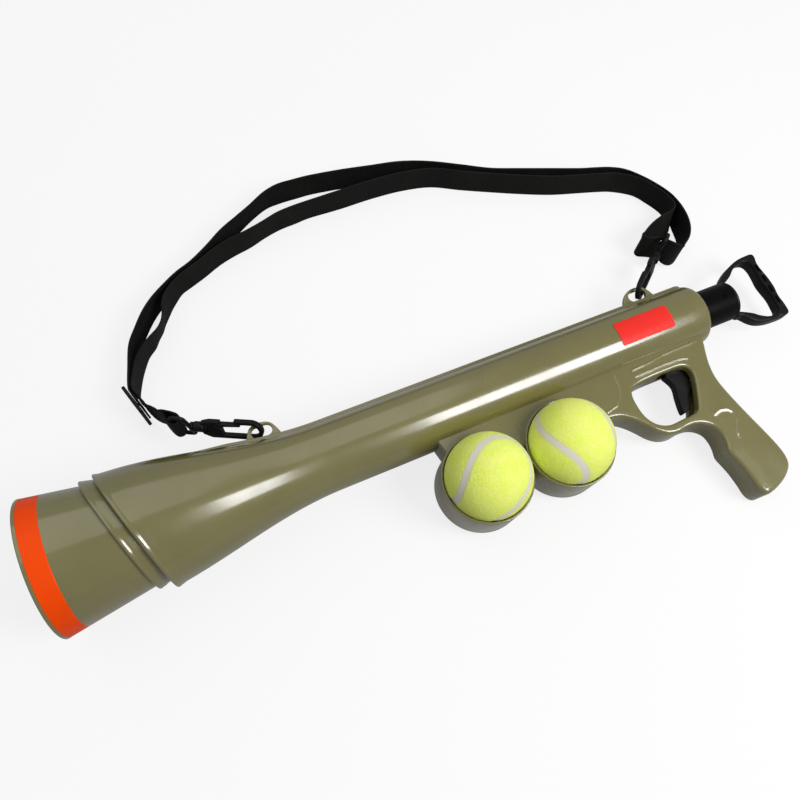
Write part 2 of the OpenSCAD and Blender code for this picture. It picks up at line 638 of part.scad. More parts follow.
module cocking_tube() {
    tube_x = striker_x + pad_t + striker_l;
    color(black) lying() difference() {
        ring(tube_r, tube_r - tube_wall, tube_x, handle_x - tube_x);
        ring(tube_r + 1, tube_r - catch_depth, catch_x, nose_l + 2);
        translate([handle_x - spigot_l / 2, 0, -tube_r - 1])
            cylinder(r = handle_pin_r + seat_gap, h = 2 * tube_r + 2);
    }
}
module striker_head() {
    color(black) lying() {
        rod(striker_r, striker_x + pad_t, striker_l);
        rod(plug_r, striker_x + pad_t + striker_l - 1, plug_l + 1);
    }
}
module striker_pad() {
    color([0.2, 0.2, 0.2]) lying() rod(pad_r, striker_x, pad_t);
}
module spring_collar() {
    color(black) lying() ring(striker_r, tube_r + seat_gap, collar_seat_x - collar_l, collar_l);
}
module main_spring() {
    start = collar_seat_x + move_gap;
    color("silver") lying() translate([start, 0, 0]) rotate([0, 90, 0])
        coil(spring_r, spring_wire, stop_x - move_gap - start, spring_turns);
}
module spring_stop() {
    color(black) lying() ring(bore_r - seat_gap, tube_r + run_gap, stop_x, stop_l);
}
module rear_bush() {
    color(black) lying() ring(bore_r - seat_gap, tube_r + run_gap, bore_end - bush_l, bush_l);
}
module cocking_handle() {
    color(black) lying() difference() {
        union() {
            translate([handle_x, 0, 0]) {
                plate(arm_half) difference() {
                    polygon(closed_curve(handle_outer, curve_steps));
                    polygon(closed_curve(handle_inner, curve_steps));
                }
                plate(bar_half) intersection() {
                    difference() {
                        polygon(closed_curve(handle_outer, curve_steps));
                        polygon(closed_curve(handle_inner, curve_steps));
                    }
                    translate([bar_x, -50]) square([50, 100]);
                }
                rod(tube_r, 0, hub_l);
            }
            rod(plug_r, handle_x - spigot_l, spigot_l + 1);
        }
        translate([handle_x - spigot_l / 2, 0, -tube_r - 1])
            cylinder(r = handle_pin_r + seat_gap, h = 2 * tube_r + 2);
    }
}
module handle_pin() {
    half = tube_r - pin_sink;
    color("silver") lying() translate([handle_x - spigot_l / 2, 0, -half])
        cylinder(r = handle_pin_r, h = 2 * half);
}

module trigger() {
    color(black) lying() in_grip() difference() {
        plate(lever_half) {
            polygon(trigger_points);
            translate(trigger_pin) circle(r = trigger_boss_r);
        }
        translate([trigger_pin[0], trigger_pin[1], -big / 2]) cylinder(r = trigger_pin_r + run_gap, h = big);
    }
}
module trigger_pin() {
    color("silver") lying() in_grip() translate([trigger_pin[0], trigger_pin[1], -pin_half])
        cylinder(r = trigger_pin_r, h = 2 * pin_half);
}
module trigger_spring() {
    start = trigger_back + move_gap;
    length = trigger_spring_end - start;
    color("silver") lying() in_grip() translate([start, trigger_spring_y, 0]) rotate([0, 90, 0])
        coil(trigger_spring_r, trigger_wire, length, trigger_turns);
}
module sear() {
    nose_top = barrel_r - tube_r - move_gap;
    color(black) lying() in_grip() difference() {
        plate(lever_half) {
            polygon([[sear_front, sear_top], [sear_front, sear_bottom], [sear_tail, sear_bottom],
                [sear_tail, sear_top], [nose_x + nose_l, sear_top], [nose_x + nose_l, nose_top],
                [nose_x, nose_top], [nose_x, sear_top]]);
            translate(sear_pin) circle(r = sear_boss_r);
        }
        translate([sear_pin[0], sear_pin[1], -big / 2]) cylinder(r = sear_pin_r + run_gap, h = big);
    }
}
module sear_pin() {
    color("silver") lying() in_grip() translate([sear_pin[0], sear_pin[1], -pin_half])
        cylinder(r = sear_pin_r, h = 2 * pin_half);
}
module sear_spring() {
    length = sear_bottom - move_gap - sear_spring_foot;
    color("silver") lying() in_grip() translate([sear_spring_x, sear_spring_foot, 0]) rotate([-90, 0, 0])
        coil(sear_spring_r, sear_wire, length, sear_turns);
}

module ball(x) {
    color([0.84, 0.98, 0.2]) lying() translate([x, cup_y, ball_z]) sphere(r = ball_r);
}
module front_ball() {
    ball(cup_x);
}
module rear_ball() {
    ball(rear_cup_x);
}

// Hook axes: x runs from the swivel to the crook, y is across the lug
module at_hook(lug, pull, turn) {
    along = -unit(pull);
    across = unit([0, 0, 1] - along * along[2]);
    third = cross(along, across);
    start = hook_origin(lug, pull);
    multmatrix([[along[0], across[0], third[0], start[0]], [along[1], across[1], third[1], start[1]],
        [along[2], across[2], third[2], start[2]], [0, 0, 0, 1]]) rotate([turn, 0, 0]) children();
}
module hook() {
    crook_out = crook_r + hook_rod;
    difference() {
        union() {
            plate(hook_half) difference() {
                union() {
                    translate([hook_l, 0]) circle(r = crook_out);
                    translate([nose_end, 0]) square([hook_l - nose_end, crook_out]);
                    polygon([[2, -5.5], [9, -crook_out], [hook_l, -crook_out], [hook_l, 0], [2, 0]]);
                    polygon([[2, 0], [2, 5.5], [8, 7.4], [eye_x - 1, 7.4], [eye_x, 0]]);
                }
                translate([hook_l, 0]) circle(r = crook_r);
                translate([eye_x, -crook_r]) square([hook_l - eye_x, 2 * crook_r]);
                translate([swivel_base_l / 2, -swivel_head_r - move_gap])
                    square([swivel_head_t + 2 * move_gap, 2 * (swivel_head_r + move_gap)]);
                translate(tongue_root) circle(r = tongue_root_r + move_gap);
                translate(tongue_root) polygon([[0, tongue_root_r - move_gap], [0, -tongue_root_r - move_gap],
                    [6, -tongue_root_r - move_gap - 6 * tan(tongue_swing)], [6, tongue_root_r - move_gap]]);
            }
            rod(swivel_base_r, -swivel_base_l / 2, swivel_base_l);
        }
        rod(swivel_r + run_gap, -swivel_base_l, 2 * swivel_base_l);
    }
}
module tongue() {
    top = crook_r - move_gap;
    plate(hook_half) {
        translate(tongue_root) circle(r = tongue_root_r);
        polygon([[tongue_root[0], tongue_root[1] - tongue_root_r], [tongue_end, top - tongue_t],
            [tongue_end, top], [tongue_root[0] + 1, tongue_root[1] + 1.2]]);
    }
}

// Loop of a swivel, whose bar stands upright for the webbing
module swivel_loop(turn) {
    inside = webbing_w + loop_slack;
    outside = inside + 2 * loop_rod;
    base = -swivel_base_l / 2;
    rod(yoke_r, base - move_gap - yoke_l, yoke_l);
    rod(swivel_r, base - 1, swivel_base_l + 1 + swivel_head_t);
    rod(swivel_head_r, -base + move_gap, swivel_head_t);
    rotate([turn, 0, 0]) translate([-loop_end_x, 0, 0]) rotate([90, 0, 0])
        plate(loop_rod / 2) difference() {
            translate([0, -outside / 2]) square([loop_l, outside]);
            translate([loop_rod, -inside / 2]) square([loop_l - 2 * loop_rod, inside]);
        }
}
module front_hook() {
    color(black) lying() at_hook(front_lug, front_pull, front_turn) hook();
}
module front_tongue() {
    color(black) lying() at_hook(front_lug, front_pull, front_turn) tongue();
}
module front_swivel() {
    color(black) lying() at_hook(front_lug, front_pull, front_turn) swivel_loop(90 - front_turn);
}
module rear_hook() {
    color(black) lying() at_hook(rear_lug, rear_pull, rear_turn) hook();
}
module rear_tongue() {
    color(black) lying() at_hook(rear_lug, rear_pull, rear_turn) tongue();
}
module rear_swivel() {
    color(black) lying() at_hook(rear_lug, rear_pull, rear_turn) swivel_loop(90 - rear_turn);
}
module strap_slider() {
    color(black) on_floor() translate([slider_place[0], slider_place[1], webbing_clear])
        rotate([0, 0, slider_turn]) difference() {
            translate([-slider_l / 2, -slider_t / 2, 0]) cube([slider_l, slider_t, slider_h]);
            for (side = [-1, 1]) translate([side * slider_l / 4 - slider_slot / 2, -slider_t, slider_bar])
                cube([slider_slot, 2 * slider_t, slider_h - 2 * slider_bar]);
        }
}
module strap_outer() {
    color(black) on_floor() webbing(outer_route);
}
module strap_return() {
    color(black) on_floor() webbing(return_route);
}
module strap_front() {
    color(black) on_floor() webbing(front_route);
}

left_shell();
right_shell();
muzzle_cone();
muzzle_band();
ball_seat();
case_screws();
blank_label();
cocking_tube();
striker_head();
striker_pad();
spring_collar();
main_spring();
spring_stop();
rear_bush();
cocking_handle();
handle_pin();
trigger();
trigger_pin();
trigger_spring();
sear();
sear_pin();
sear_spring();
front_ball();
rear_ball();
front_hook();
front_tongue();
front_swivel();
rear_hook();
rear_tongue();
rear_swivel();
strap_slider();
strap_outer();
strap_return();
strap_front();
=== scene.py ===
"""Looks of a spring-driven launcher for tennis balls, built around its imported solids."""

import logging
import math
from dataclasses import dataclass, field
from enum import Enum
from typing import Callable, ClassVar, Sequence

import bpy
import numpy as np
from mathutils import Matrix, Vector, noise
from mathutils.geometry import delaunay_2d_cdt


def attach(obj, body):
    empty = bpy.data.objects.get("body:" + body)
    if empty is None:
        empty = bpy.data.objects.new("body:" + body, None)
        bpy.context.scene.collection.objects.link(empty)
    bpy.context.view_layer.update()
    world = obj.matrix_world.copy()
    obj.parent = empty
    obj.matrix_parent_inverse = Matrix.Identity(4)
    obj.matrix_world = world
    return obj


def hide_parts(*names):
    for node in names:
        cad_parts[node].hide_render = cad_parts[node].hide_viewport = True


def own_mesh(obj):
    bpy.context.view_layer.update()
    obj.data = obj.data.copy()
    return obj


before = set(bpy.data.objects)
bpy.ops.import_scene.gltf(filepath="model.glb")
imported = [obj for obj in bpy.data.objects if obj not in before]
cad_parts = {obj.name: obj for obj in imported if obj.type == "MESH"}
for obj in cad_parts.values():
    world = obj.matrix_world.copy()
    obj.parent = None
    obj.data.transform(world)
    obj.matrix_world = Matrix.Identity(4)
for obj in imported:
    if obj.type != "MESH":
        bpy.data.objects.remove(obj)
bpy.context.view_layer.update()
LOG = logging.getLogger("launcher")
MILLIMETRE = 0.001
WHITE = (1.0, 1.0, 1.0, 1.0)
MIRRORED = 0.15
OBLIQUE = (0.31, 0.52, 0.8)
Points = tuple[tuple[float, ...], ...]
Place = tuple[float, float, float]
Colour = tuple[float, float, float]


# Shader graphs


class Wire:
    """Output socket of a shader graph that can be used in Python sums."""

    def __init__(self, graph: "Graph", socket: bpy.types.NodeSocket) -> None:
        """Keeps the graph and the socket."""
        self.graph = graph
        self.socket = socket

    def _sum(self, operation: str, first: "Wire | float", second: "Wire | float") -> "Wire":
        """Adds a Math node of two values."""
        return self.graph.node("ShaderNodeMath", {"operation": operation}, {0: first, 1: second})

    def __add__(self, other: "Wire | float") -> "Wire":
        """This value plus another."""
        return self._sum("ADD", self, other)

    def __radd__(self, other: float) -> "Wire":
        """A number plus this value."""
        return self._sum("ADD", other, self)

    def __sub__(self, other: "Wire | float") -> "Wire":
        """This value less another."""
        return self._sum("SUBTRACT", self, other)

    def __rsub__(self, other: float) -> "Wire":
        """A number less this value."""
        return self._sum("SUBTRACT", other, self)

    def __mul__(self, other: "Wire | float") -> "Wire":
        """This value times another."""
        return self._sum("MULTIPLY", self, other)

    def __rmul__(self, other: float) -> "Wire":
        """A number times this value."""
        return self._sum("MULTIPLY", other, self)

    def sine(self) -> "Wire":
        """Sine of this value."""
        return self._sum("SINE", self, 0.0)

    def ramp(self, low: float, high: float, first: float = 0.0, last: float = 1.0) -> "Wire":
        """This value mapped smoothly from one range to another.

        Args:
            low: Value that gives first.
            high: Value that gives last.
            first: Result at the low end.
            last: Result at the high end.

        Returns:
            The mapped value.
        """
        settings = {"interpolation_type": "SMOOTHSTEP"}
        inputs = {"Value": self, "From Min": low, "From Max": high, "To Min": first, "To Max": last}
        return self.graph.node("ShaderNodeMapRange", settings, inputs)


class Graph:
    """Shader graph of a material or a world."""

    def __init__(self, owner: bpy.types.Material | bpy.types.World) -> None:
        """Takes up the owner's output and the shader that feeds it.

        Args:
            owner: Material or world that the graph belongs to.
        """
        owner.use_nodes = True
        self.tree = owner.node_tree
        self.output = next(node for node in self.tree.nodes if "Surface" in node.inputs)
        self.surface = self.output.inputs["Surface"].links[0].from_node

    def node(
        self,
        kind: str,
        settings: dict[str, object] | None = None,
        inputs: dict[str | int, object] | None = None,
        output: str | int = 0,
    ) -> Wire:
        """Adds a node.

        Args:
            kind: Type of the node.
            settings: Its settings, set before its sockets.
            inputs: Values or wires of its sockets.
            output: Output to return.

        Returns:
            The chosen output.
        """
        node = self.tree.nodes.new(kind)
        for key, value in (settings or {}).items():
            setattr(node, key, value)
        for key, value in (inputs or {}).items():
            self.feed(node.inputs[key], value)
        return Wire(self, node.outputs[output])

    def feed(self, socket: bpy.types.NodeSocket, value: object) -> None:
        """Sets a socket to a value, or links a wire to it.

        Args:
            socket: Socket of a node.
            value: Number, colour or wire.
        """
        if isinstance(value, Wire):
            self.tree.links.new(value.socket, socket)
        else:
            socket.default_value = value

    def dress(self, **sockets: object) -> None:
        """Feeds the surface shader's sockets, with underscores for the blanks in their names."""
        for key, value in sockets.items():
            self.feed(self.surface.inputs[key.replace("_", " ")], value)

    def mix_in(self, share: Wire, shader: Wire) -> None:
        """Sends the surface shader to the output with a share of another.

        Args:
            share: Share of the other shader.
            shader: The other shader.
        """
        own = Wire(self, self.surface.outputs[0])
        mixed = self.node("ShaderNodeMixShader", None, {0: share, 1: own, 2: shader})
        self.feed(self.output.inputs["Surface"], mixed)

    def background(self, mirrored: float) -> Wire:
        """Share of the white background: all of it for the camera, a part of it for mirrored rays.

        Args:
            mirrored: Part that mirrored rays see.

        Returns:
            The share.
        """
        seen, glossy, through = (self.node("ShaderNodeLightPath", output=name) for name in
                                 ("Is Camera Ray", "Is Glossy Ray", "Is Transmission Ray"))
        return seen + (glossy + through) * mirrored

    def place(self) -> Wire:
        """Place on the piece, in metres."""
        return self.node("ShaderNodeTexCoord", output="Object")

    def cloud(self, grain: float, detail: float = 2.0) -> Wire:
        """Noise whose grains have a given size in millimetres."""
        inputs = {"Vector": self.place(), "Scale": 1 / (grain * MILLIMETRE), "Detail": detail}
        return self.node("ShaderNodeTexNoise", None, inputs)

    def mark(self, name: str) -> Wire:
        """Number that the mesh holds under a name."""
        return self.node("ShaderNodeAttribute", {"attribute_name": name}, output="Fac")

    def blend(self, share: Wire, first: "Wire | Sequence[float]", second: "Wire | Sequence[float]") -> Wire:
        """Colour between two colours."""
        inputs = {0: share, 6: shade(first), 7: shade(second)}
        return self.node("ShaderNodeMix", {"data_type": "RGBA"}, inputs, 2)

    def bump(self, height: Wire, depth: float, strength: float) -> Wire:
        """Normal bent by a height, whose full depth is in millimetres."""
        return self.node("ShaderNodeBump", None,
                         {"Height": height, "Distance": depth * MILLIMETRE, "Strength": strength})


def shade(colour: "Wire | Sequence[float]") -> "Wire | tuple[float, ...]":
    """Colour with its fourth number."""
    return colour if isinstance(colour, Wire) else (*colour, 1.0)


@dataclass(frozen=True)
class Finish:
    """Finish of a surface, and the record's slot that it belongs to."""

    name: str
    slot: str

    def paint(self, graph: Graph) -> None:
        """Feeds the surface shader of a material's graph."""
        raise NotImplementedError

    def material(self) -> bpy.types.Material:
        """Material of this finish, made once.

        Returns:
            The material.
        """
        found = bpy.data.materials.get(self.name)
        if found is None:
            found = bpy.data.materials.new(self.name)
            self.paint(Graph(found))
        return found


@dataclass(frozen=True)
class GlossPlastic(Finish):
    """Glossy moulded plastic, a little uneven in tone, with a fine orange peel and handling marks."""

    colour: Colour
    shadow: Colour
    gloss: float = 0.2
    coat: float = 0.95
    coat_rough: float = 0.12
    coat_ior: float = 1.62

    def paint(self, graph: Graph) -> None:
        """Feeds the surface shader.

        Args:
            graph: Graph of the material.
        """
        tone = graph.cloud(90, 3).ramp(0.35, 0.65)
        speck = graph.cloud(0.9, 1).ramp(0.62, 0.75) * 0.12
        smear = graph.cloud(24, 5).ramp(0.4, 0.7)
        graph.dress(
            Base_Color=graph.blend(tone * 0.7 + speck, self.colour, self.shadow),
            Roughness=smear * 0.1 + self.gloss,
            Coat_Weight=self.coat - smear * 0.15,
            Coat_Roughness=self.coat_rough,
            Coat_IOR=self.coat_ior,
            Normal=graph.bump(graph.cloud(2.2, 2), 0.05, 0.12),
        )


@dataclass(frozen=True)
class SatinPlastic(Finish):
    """Black moulded plastic with a fine spark-eroded grain."""

    colour: Colour = (0.007, 0.007, 0.007)
    rough: float = 0.34
    grain: float = 0.5
    shine: float = 0.15
    rubbed: float = 2.2

    def paint(self, graph: Graph) -> None:
        """Feeds the surface shader.

        Args:
            graph: Graph of the material.
        """
        rub = graph.cloud(14, 4).ramp(0.45, 0.75)
        grain = graph.cloud(self.grain, 2)
        pale = tuple(self.rubbed * part for part in self.colour)
        graph.dress(
            Base_Color=graph.blend(rub * 0.6, self.colour, pale),
            Roughness=grain * 0.12 + self.rough - rub * 0.08,
            Specular_IOR_Level=self.shine,
            Normal=graph.bump(grain, 0.03, 0.25),
        )


@dataclass(frozen=True)
class PrintedFilm(Finish):
    """Bright printed film with a clear gloss over it."""

    colour: Colour
    deep: Colour
    rough: float = 0.34
    shine: float = 0.12

    def paint(self, graph: Graph) -> None:
        """Feeds the surface shader.

        Args:
            graph: Graph of the material.
        """
        ink = graph.cloud(6, 4).ramp(0.35, 0.7)
        dots = graph.cloud(0.35, 1).ramp(0.55, 0.7) * 0.15
        graph.dress(
            Base_Color=graph.blend(ink * 0.3 + dots, self.colour, self.deep),
            Roughness=ink * 0.1 + self.rough,
            Specular_IOR_Level=self.shine,
            Normal=graph.bump(graph.cloud(3, 2), 0.04, 0.1),
        )


@dataclass(frozen=True)
class BallFelt(Finish):
    """Napped felt with a smooth rubber seam."""

    nap: Colour = (0.97, 1.0, 0.27)
    deep: Colour = (0.76, 0.97, 0.05)
    rubber: Colour = (0.80, 0.76, 0.66)
    sheen: float = 0.35
    sheen_rough: float = 0.5
    sheen_tint: Colour = (0.85, 1.0, 0.45)

    def paint(self, graph: Graph) -> None:
        """Feeds the surface shader.

        Args:
            graph: Graph of the material.
        """
        felt = graph.mark("felt")
        tuft = graph.cloud(1.1, 4)
        patch = graph.cloud(9, 3).ramp(0.35, 0.7)
        fibre = graph.cloud(0.35, 3)
        wool = graph.blend(tuft.ramp(0.35, 0.65) * 0.55 + patch * 0.3, self.nap, self.deep)
        graph.dress(
            Base_Color=graph.blend(felt, self.rubber, wool),
            Roughness=felt * 0.4 + 0.52,
            Sheen_Weight=self.sheen,
            Sheen_Roughness=self.sheen_rough,
            Sheen_Tint=shade(self.sheen_tint),
            Normal=graph.bump((tuft + fibre * 0.6) * felt, 0.5, 0.8),
        )


@dataclass(frozen=True)
class WovenWebbing(Finish):
    """Black woven webbing with ribs across it and a dense edge."""

    yarn: Colour = (0.0025, 0.0025, 0.0026)
    worn: Colour = (0.015, 0.0145, 0.013)
    rib: float = 1.9
    warp: float = 0.9
    shine: float = 0.15

    def paint(self, graph: Graph) -> None:
        """Feeds the surface shader.

        Args:
            graph: Graph of the material.
        """
        run = graph.mark("run")
        cross = graph.mark("cross")
        turn = 2 * math.pi / MILLIMETRE
        ribs = (run * (turn / self.rib)).sine()
        lines = (cross * (turn / self.warp)).sine()
        weave = ribs * lines * 0.35 + ribs * 0.45 + 0.5
        fuzz = graph.cloud(0.6, 3)
        rub = graph.cloud(30, 3).ramp(0.45, 0.7)
        graph.dress(
            Base_Color=graph.blend(weave * 0.55 + fuzz * 0.25 + rub * 0.25, self.yarn, self.worn),
            Roughness=0.78 - weave * 0.2,
            Specular_IOR_Level=self.shine,
            Normal=graph.bump(weave + fuzz * 0.3, 0.25, 0.9),
        )


@dataclass(frozen=True)
class PlainSteel(Finish):
    """Zinc-bright steel with fine drawing lines."""

    tint: Colour = (0.58, 0.58, 0.57)
    dull: Colour = (0.36, 0.36, 0.37)

    def paint(self, graph: Graph) -> None:
        """Feeds the surface shader.

        Args:
            graph: Graph of the material.
        """
        haze = graph.cloud(3, 4).ramp(0.35, 0.7)
        lines = graph.cloud(0.4, 2)
        graph.dress(
            Base_Color=graph.blend(haze, self.tint, self.dull),
            Metallic=1.0,
            Roughness=haze * 0.18 + 0.24,
            Normal=graph.bump(lines, 0.02, 0.2),
        )


@dataclass(frozen=True)
class SoftRubber(Finish):
    """Dull black rubber with a dusty bloom."""

    colour: Colour = (0.018, 0.018, 0.018)
    dust: Colour = (0.05, 0.05, 0.048)

    def paint(self, graph: Graph) -> None:
        """Feeds the surface shader.

        Args:
            graph: Graph of the material.
        """
        bloom = graph.cloud(7, 4).ramp(0.45, 0.75)
        graph.dress(
            Base_Color=graph.blend(bloom, self.colour, self.dust),
            Roughness=0.72 + bloom * 0.15,
            Normal=graph.bump(graph.cloud(0.8, 2), 0.05, 0.3),
        )


OLIVE = GlossPlastic("olive_moulding", "olive_shell", (0.195, 0.175, 0.057), (0.155, 0.140, 0.042))
ORANGE = PrintedFilm("orange_ring", "orange_band", (1.0, 0.075, 0.0), (0.95, 0.055, 0.0))
RED = PrintedFilm("red_film", "red_label", (0.88, 0.035, 0.027), (0.80, 0.028, 0.021))
BLACK = SatinPlastic("black_moulding", "black_plastic")
TUBE_BLACK = SatinPlastic("black_tube", "black_plastic", (0.003, 0.003, 0.003), 0.26, 0.9, 0.06)
STEEL = PlainSteel("bright_steel", "steel")
DARK_STEEL = PlainSteel("blackened_steel", "steel", (0.012, 0.012, 0.012), (0.006, 0.006, 0.006))
RUBBER = SoftRubber("striker_rubber", "soft_pad")
FELT = BallFelt("napped_felt", "ball_felt")
WEBBING = WovenWebbing("black_webbing", "webbing")


# Lines and outlines


def unit(vectors: np.ndarray) -> np.ndarray:
    """The same directions with a length of one."""
    return vectors / np.linalg.norm(vectors, axis=-1, keepdims=True)


def eased(share: np.ndarray) -> np.ndarray:
    """Share that starts and ends softly, held between zero and one."""
    share = np.clip(share, 0, 1)
    return share * share * (3 - 2 * share)


def all_round(count: int) -> np.ndarray:
    """Even angles all the way round."""
    return np.arange(count) * 2 * math.pi / count


def shares(count: int) -> np.ndarray:
    """Even shares up to one, without zero."""
    return np.linspace(0, 1, count + 1)[1:]


def leftward(steps: np.ndarray) -> np.ndarray:
    """Directions to the left of steps in the plane."""
    return unit(np.column_stack([-steps[:, 1], steps[:, 0]]))


def reach_along(line: np.ndarray) -> np.ndarray:
    """Distance of each point from the start of a line."""
    return np.concatenate([[0], np.cumsum(np.linalg.norm(np.diff(line, axis=0), axis=1))])


def curve_through(points: Sequence[Sequence[float]], steps: int, closed: bool) -> np.ndarray:
    """Smooth line through points.

    Args:
        points: Points of the line.
        steps: Steps from each point to the next.
        closed: Whether the line comes back to its start.

    Returns:
        Points of the line.
    """
    p = np.asarray(points, float)
    count = len(p)
    spans = count if closed else count - 1
    pick = (lambda i: p[i % count]) if closed else (lambda i: p[min(count - 1, max(0, i))])
    line = []
    for i in range(spans):
        a, b, c, d = pick(i - 1), pick(i), pick(i + 1), pick(i + 2)
        for t in np.arange(steps) / steps:
            bend = (2 * a - 5 * b + 4 * c - d) * t * t + (3 * b - a - 3 * c + d) * t ** 3
            line.append((2 * b + (c - a) * t + bend) / 2)
    if not closed:
        line.append(p[-1])
    return np.array(line)


def even_line(line: np.ndarray, step: float, closed: bool) -> np.ndarray:
    """The same line with points at even distances.

    Args:
        line: Points of the line.
        step: Distance to aim at.
        closed: Whether the line comes back to its start.

    Returns:
        Points of the new line.
    """
    p = np.vstack([line, line[:1]]) if closed else line
    reach = reach_along(p)
    count = max(3, int(round(reach[-1] / step)))
    marks = np.linspace(0, reach[-1], count + 1)[: count if closed else count + 1]
    return np.column_stack([np.interp(marks, reach, p[:, k]) for k in range(p.shape[1])])


def softened(points: Sequence[Sequence[float]], rounds: int = 3) -> np.ndarray:
    """Closed outline with its corners cut round.

    Args:
        points: Corners of the outline.
        rounds: How often the corners are cut.

    Returns:
        Points of the new outline.
    """
    p = np.asarray(points, float)
    for _ in range(rounds):
        after = np.roll(p, -1, axis=0)
        cuts = [0.75 * p + 0.25 * after, 0.25 * p + 0.75 * after]
        p = np.stack(cuts, axis=1).reshape(-1, p.shape[1])
    return p


def arc(middle: Sequence[float], radius: float, start: float, end: float, steps: int = 10) -> np.ndarray:
    """Points of an arc, with its angles in degrees."""
    turn = np.radians(np.linspace(start, end, steps + 1))
    return np.column_stack([middle[0] + radius * np.cos(turn), middle[1] + radius * np.sin(turn)])


def round_box(left: float, low: float, right: float, high: float, corner: float) -> np.ndarray:
    """Outline of a box with round corners.

    Args:
        left: Left edge.
        low: Lower edge.
        right: Right edge.
        high: Upper edge.
        corner: Radius of the corners.

    Returns:
        Points of the outline.
    """
    spots = ((right - corner, high - corner, 0), (left + corner, high - corner, 90),
             (left + corner, low + corner, 180), (right - corner, low + corner, 270))
    return np.vstack([arc((x, y), corner, turn, turn + 90, 6) for x, y, turn in spots])


def from_line(points: np.ndarray, line: np.ndarray, closed: bool) -> np.ndarray:
    """Distance of each point from a line.

    Args:
        points: Points in the plane.
        line: Points of the line.
        closed: Whether the line comes back to its start.

    Returns:
        The distances.
    """
    start = line if closed else line[:-1]
    step = (np.roll(line, -1, axis=0) if closed else line[1:]) - start
    square = np.maximum((step ** 2).sum(1), 1e-12)
    least = np.full(len(points), np.inf)
    for a, s, q in zip(start, step, square):
        share = np.clip(((points - a) @ s) / q, 0, 1)
        least = np.minimum(least, np.hypot(*(points - a - share[:, None] * s).T))
    return least


def within(points: np.ndarray, loop: np.ndarray) -> np.ndarray:
    """Whether each point lies inside a closed outline.

    Args:
        points: Points in the plane.
        loop: Points of the outline.

    Returns:
        True for each point inside.
    """
    x, y = points.T
    inside = np.zeros(len(points), bool)
    for (ax, ay), (bx, by) in zip(loop, np.roll(loop, -1, axis=0)):
        if ay != by:
            inside ^= ((ay > y) != (by > y)) & (x < (bx - ax) * (y - ay) / (by - ay) + ax)
    return inside


def turned_way(loop: np.ndarray, left: bool) -> np.ndarray:
    """The same outline, running anticlockwise if left is true, or else clockwise."""
    area = np.cross(loop, np.roll(loop, -1, axis=0)).sum()
    return loop if (area > 0) == left else loop[::-1]


# Meshes


@dataclass
class Shape:
    """Mesh in the making, in millimetres."""

    points: np.ndarray = field(default_factory=lambda: np.zeros((0, 3)))
    faces: list[tuple[int, ...]] = field(default_factory=list)
    marks: dict[str, np.ndarray] = field(default_factory=dict)

    def add(self, points: np.ndarray, faces: Sequence[Sequence[int]]) -> "Shape":
        """Adds points, and faces that count from the first of them.

        Args:
            points: New points.
            faces: Corners of the new faces.

        Returns:
            This shape.
        """
        start = len(self.points)
        self.points = np.vstack([self.points, points])
        self.faces += [tuple(start + k for k in face) for face in faces]
        return self

    def join(self, other: "Shape") -> "Shape":
        """Adds another shape."""
        return self.add(other.points, other.faces)

    def moved(self, matrix: np.ndarray) -> "Shape":
        """The same shape, moved by a matrix."""
        points = self.points @ matrix[:3, :3].T + matrix[:3, 3]
        return Shape(points, list(self.faces), dict(self.marks))

    def mirrored(self) -> "Shape":
        """The same shape on the other side of the seam."""
        return Shape(self.points * (1.0, 1.0, -1.0), [face[::-1] for face in self.faces])

    def object(self, name: str, matrix: np.ndarray | None = None) -> bpy.types.Object:
        """Object of this shape.

        Args:
            name: Name of the object.
            matrix: Matrix that takes the shape to its place.

        Returns:
            The object, linked to the scene.
        """
        mesh = bpy.data.meshes.new(name)
        mesh.from_pydata(self.points.tolist(), [], self.faces)
        for mark, values in self.marks.items():
            data = mesh.attributes.new(mark, "FLOAT", "POINT").data
            data.foreach_set("value", values.astype(np.float32))
        if matrix is not None:
            mesh.transform(Matrix(matrix.tolist()))
        mesh.validate()
        made = bpy.data.objects.new(name, mesh)
        bpy.context.scene.collection.objects.link(made)
        return made


def skin(rows: np.ndarray, around: bool = True, along: bool = False, caps: bool = True) -> Shape:
    """Mesh over rows of points.

    Args:
        rows: Points, row by row.
        around: Whether each row closes on itself.
        along: Whether the last row joins the first.
        caps: Whether the first and last rows are filled.

    Returns:
        The shape.
    """
    count, width = rows.shape[:2]
    faces = []
    for i in range(count if along else count - 1):
        a, b = i * width, ((i + 1) % count) * width
        for j in range(width if around else width - 1):
            k = (j + 1) % width
            faces.append((a + j, a + k, b + k, b + j))
    if caps and around and not along:
        faces.append(tuple(range(width))[::-1])
        faces.append(tuple((count - 1) * width + j for j in range(width)))
    return Shape().add(rows.reshape(-1, 3), faces)


class Axis(Enum):
    """Axes of the launcher."""

    BARREL = 0
    UP = 1
    SIDE = 2


def turned(profile: Sequence[Sequence[float]], axis: Axis = Axis.BARREL, hollow: bool = False,
           around: int = 96) -> Shape:
    """Piece turned about an axis.

    Args:
        profile: Places along the axis with their radii.
        axis: The axis.
        hollow: Whether the profile closes on itself, as for a ring.
        around: Points around.

    Returns:
        The shape.
    """
    turn = all_round(around)
    p = np.asarray(profile, float)
    place = np.repeat(p[:, :1], around, axis=1)
    first, second = p[:, 1:2] * np.cos(turn), p[:, 1:2] * np.sin(turn)
    parts = (place, first, second) if axis is Axis.BARREL else (first, second, place)
    return skin(np.stack(parts, axis=2), along=hollow)


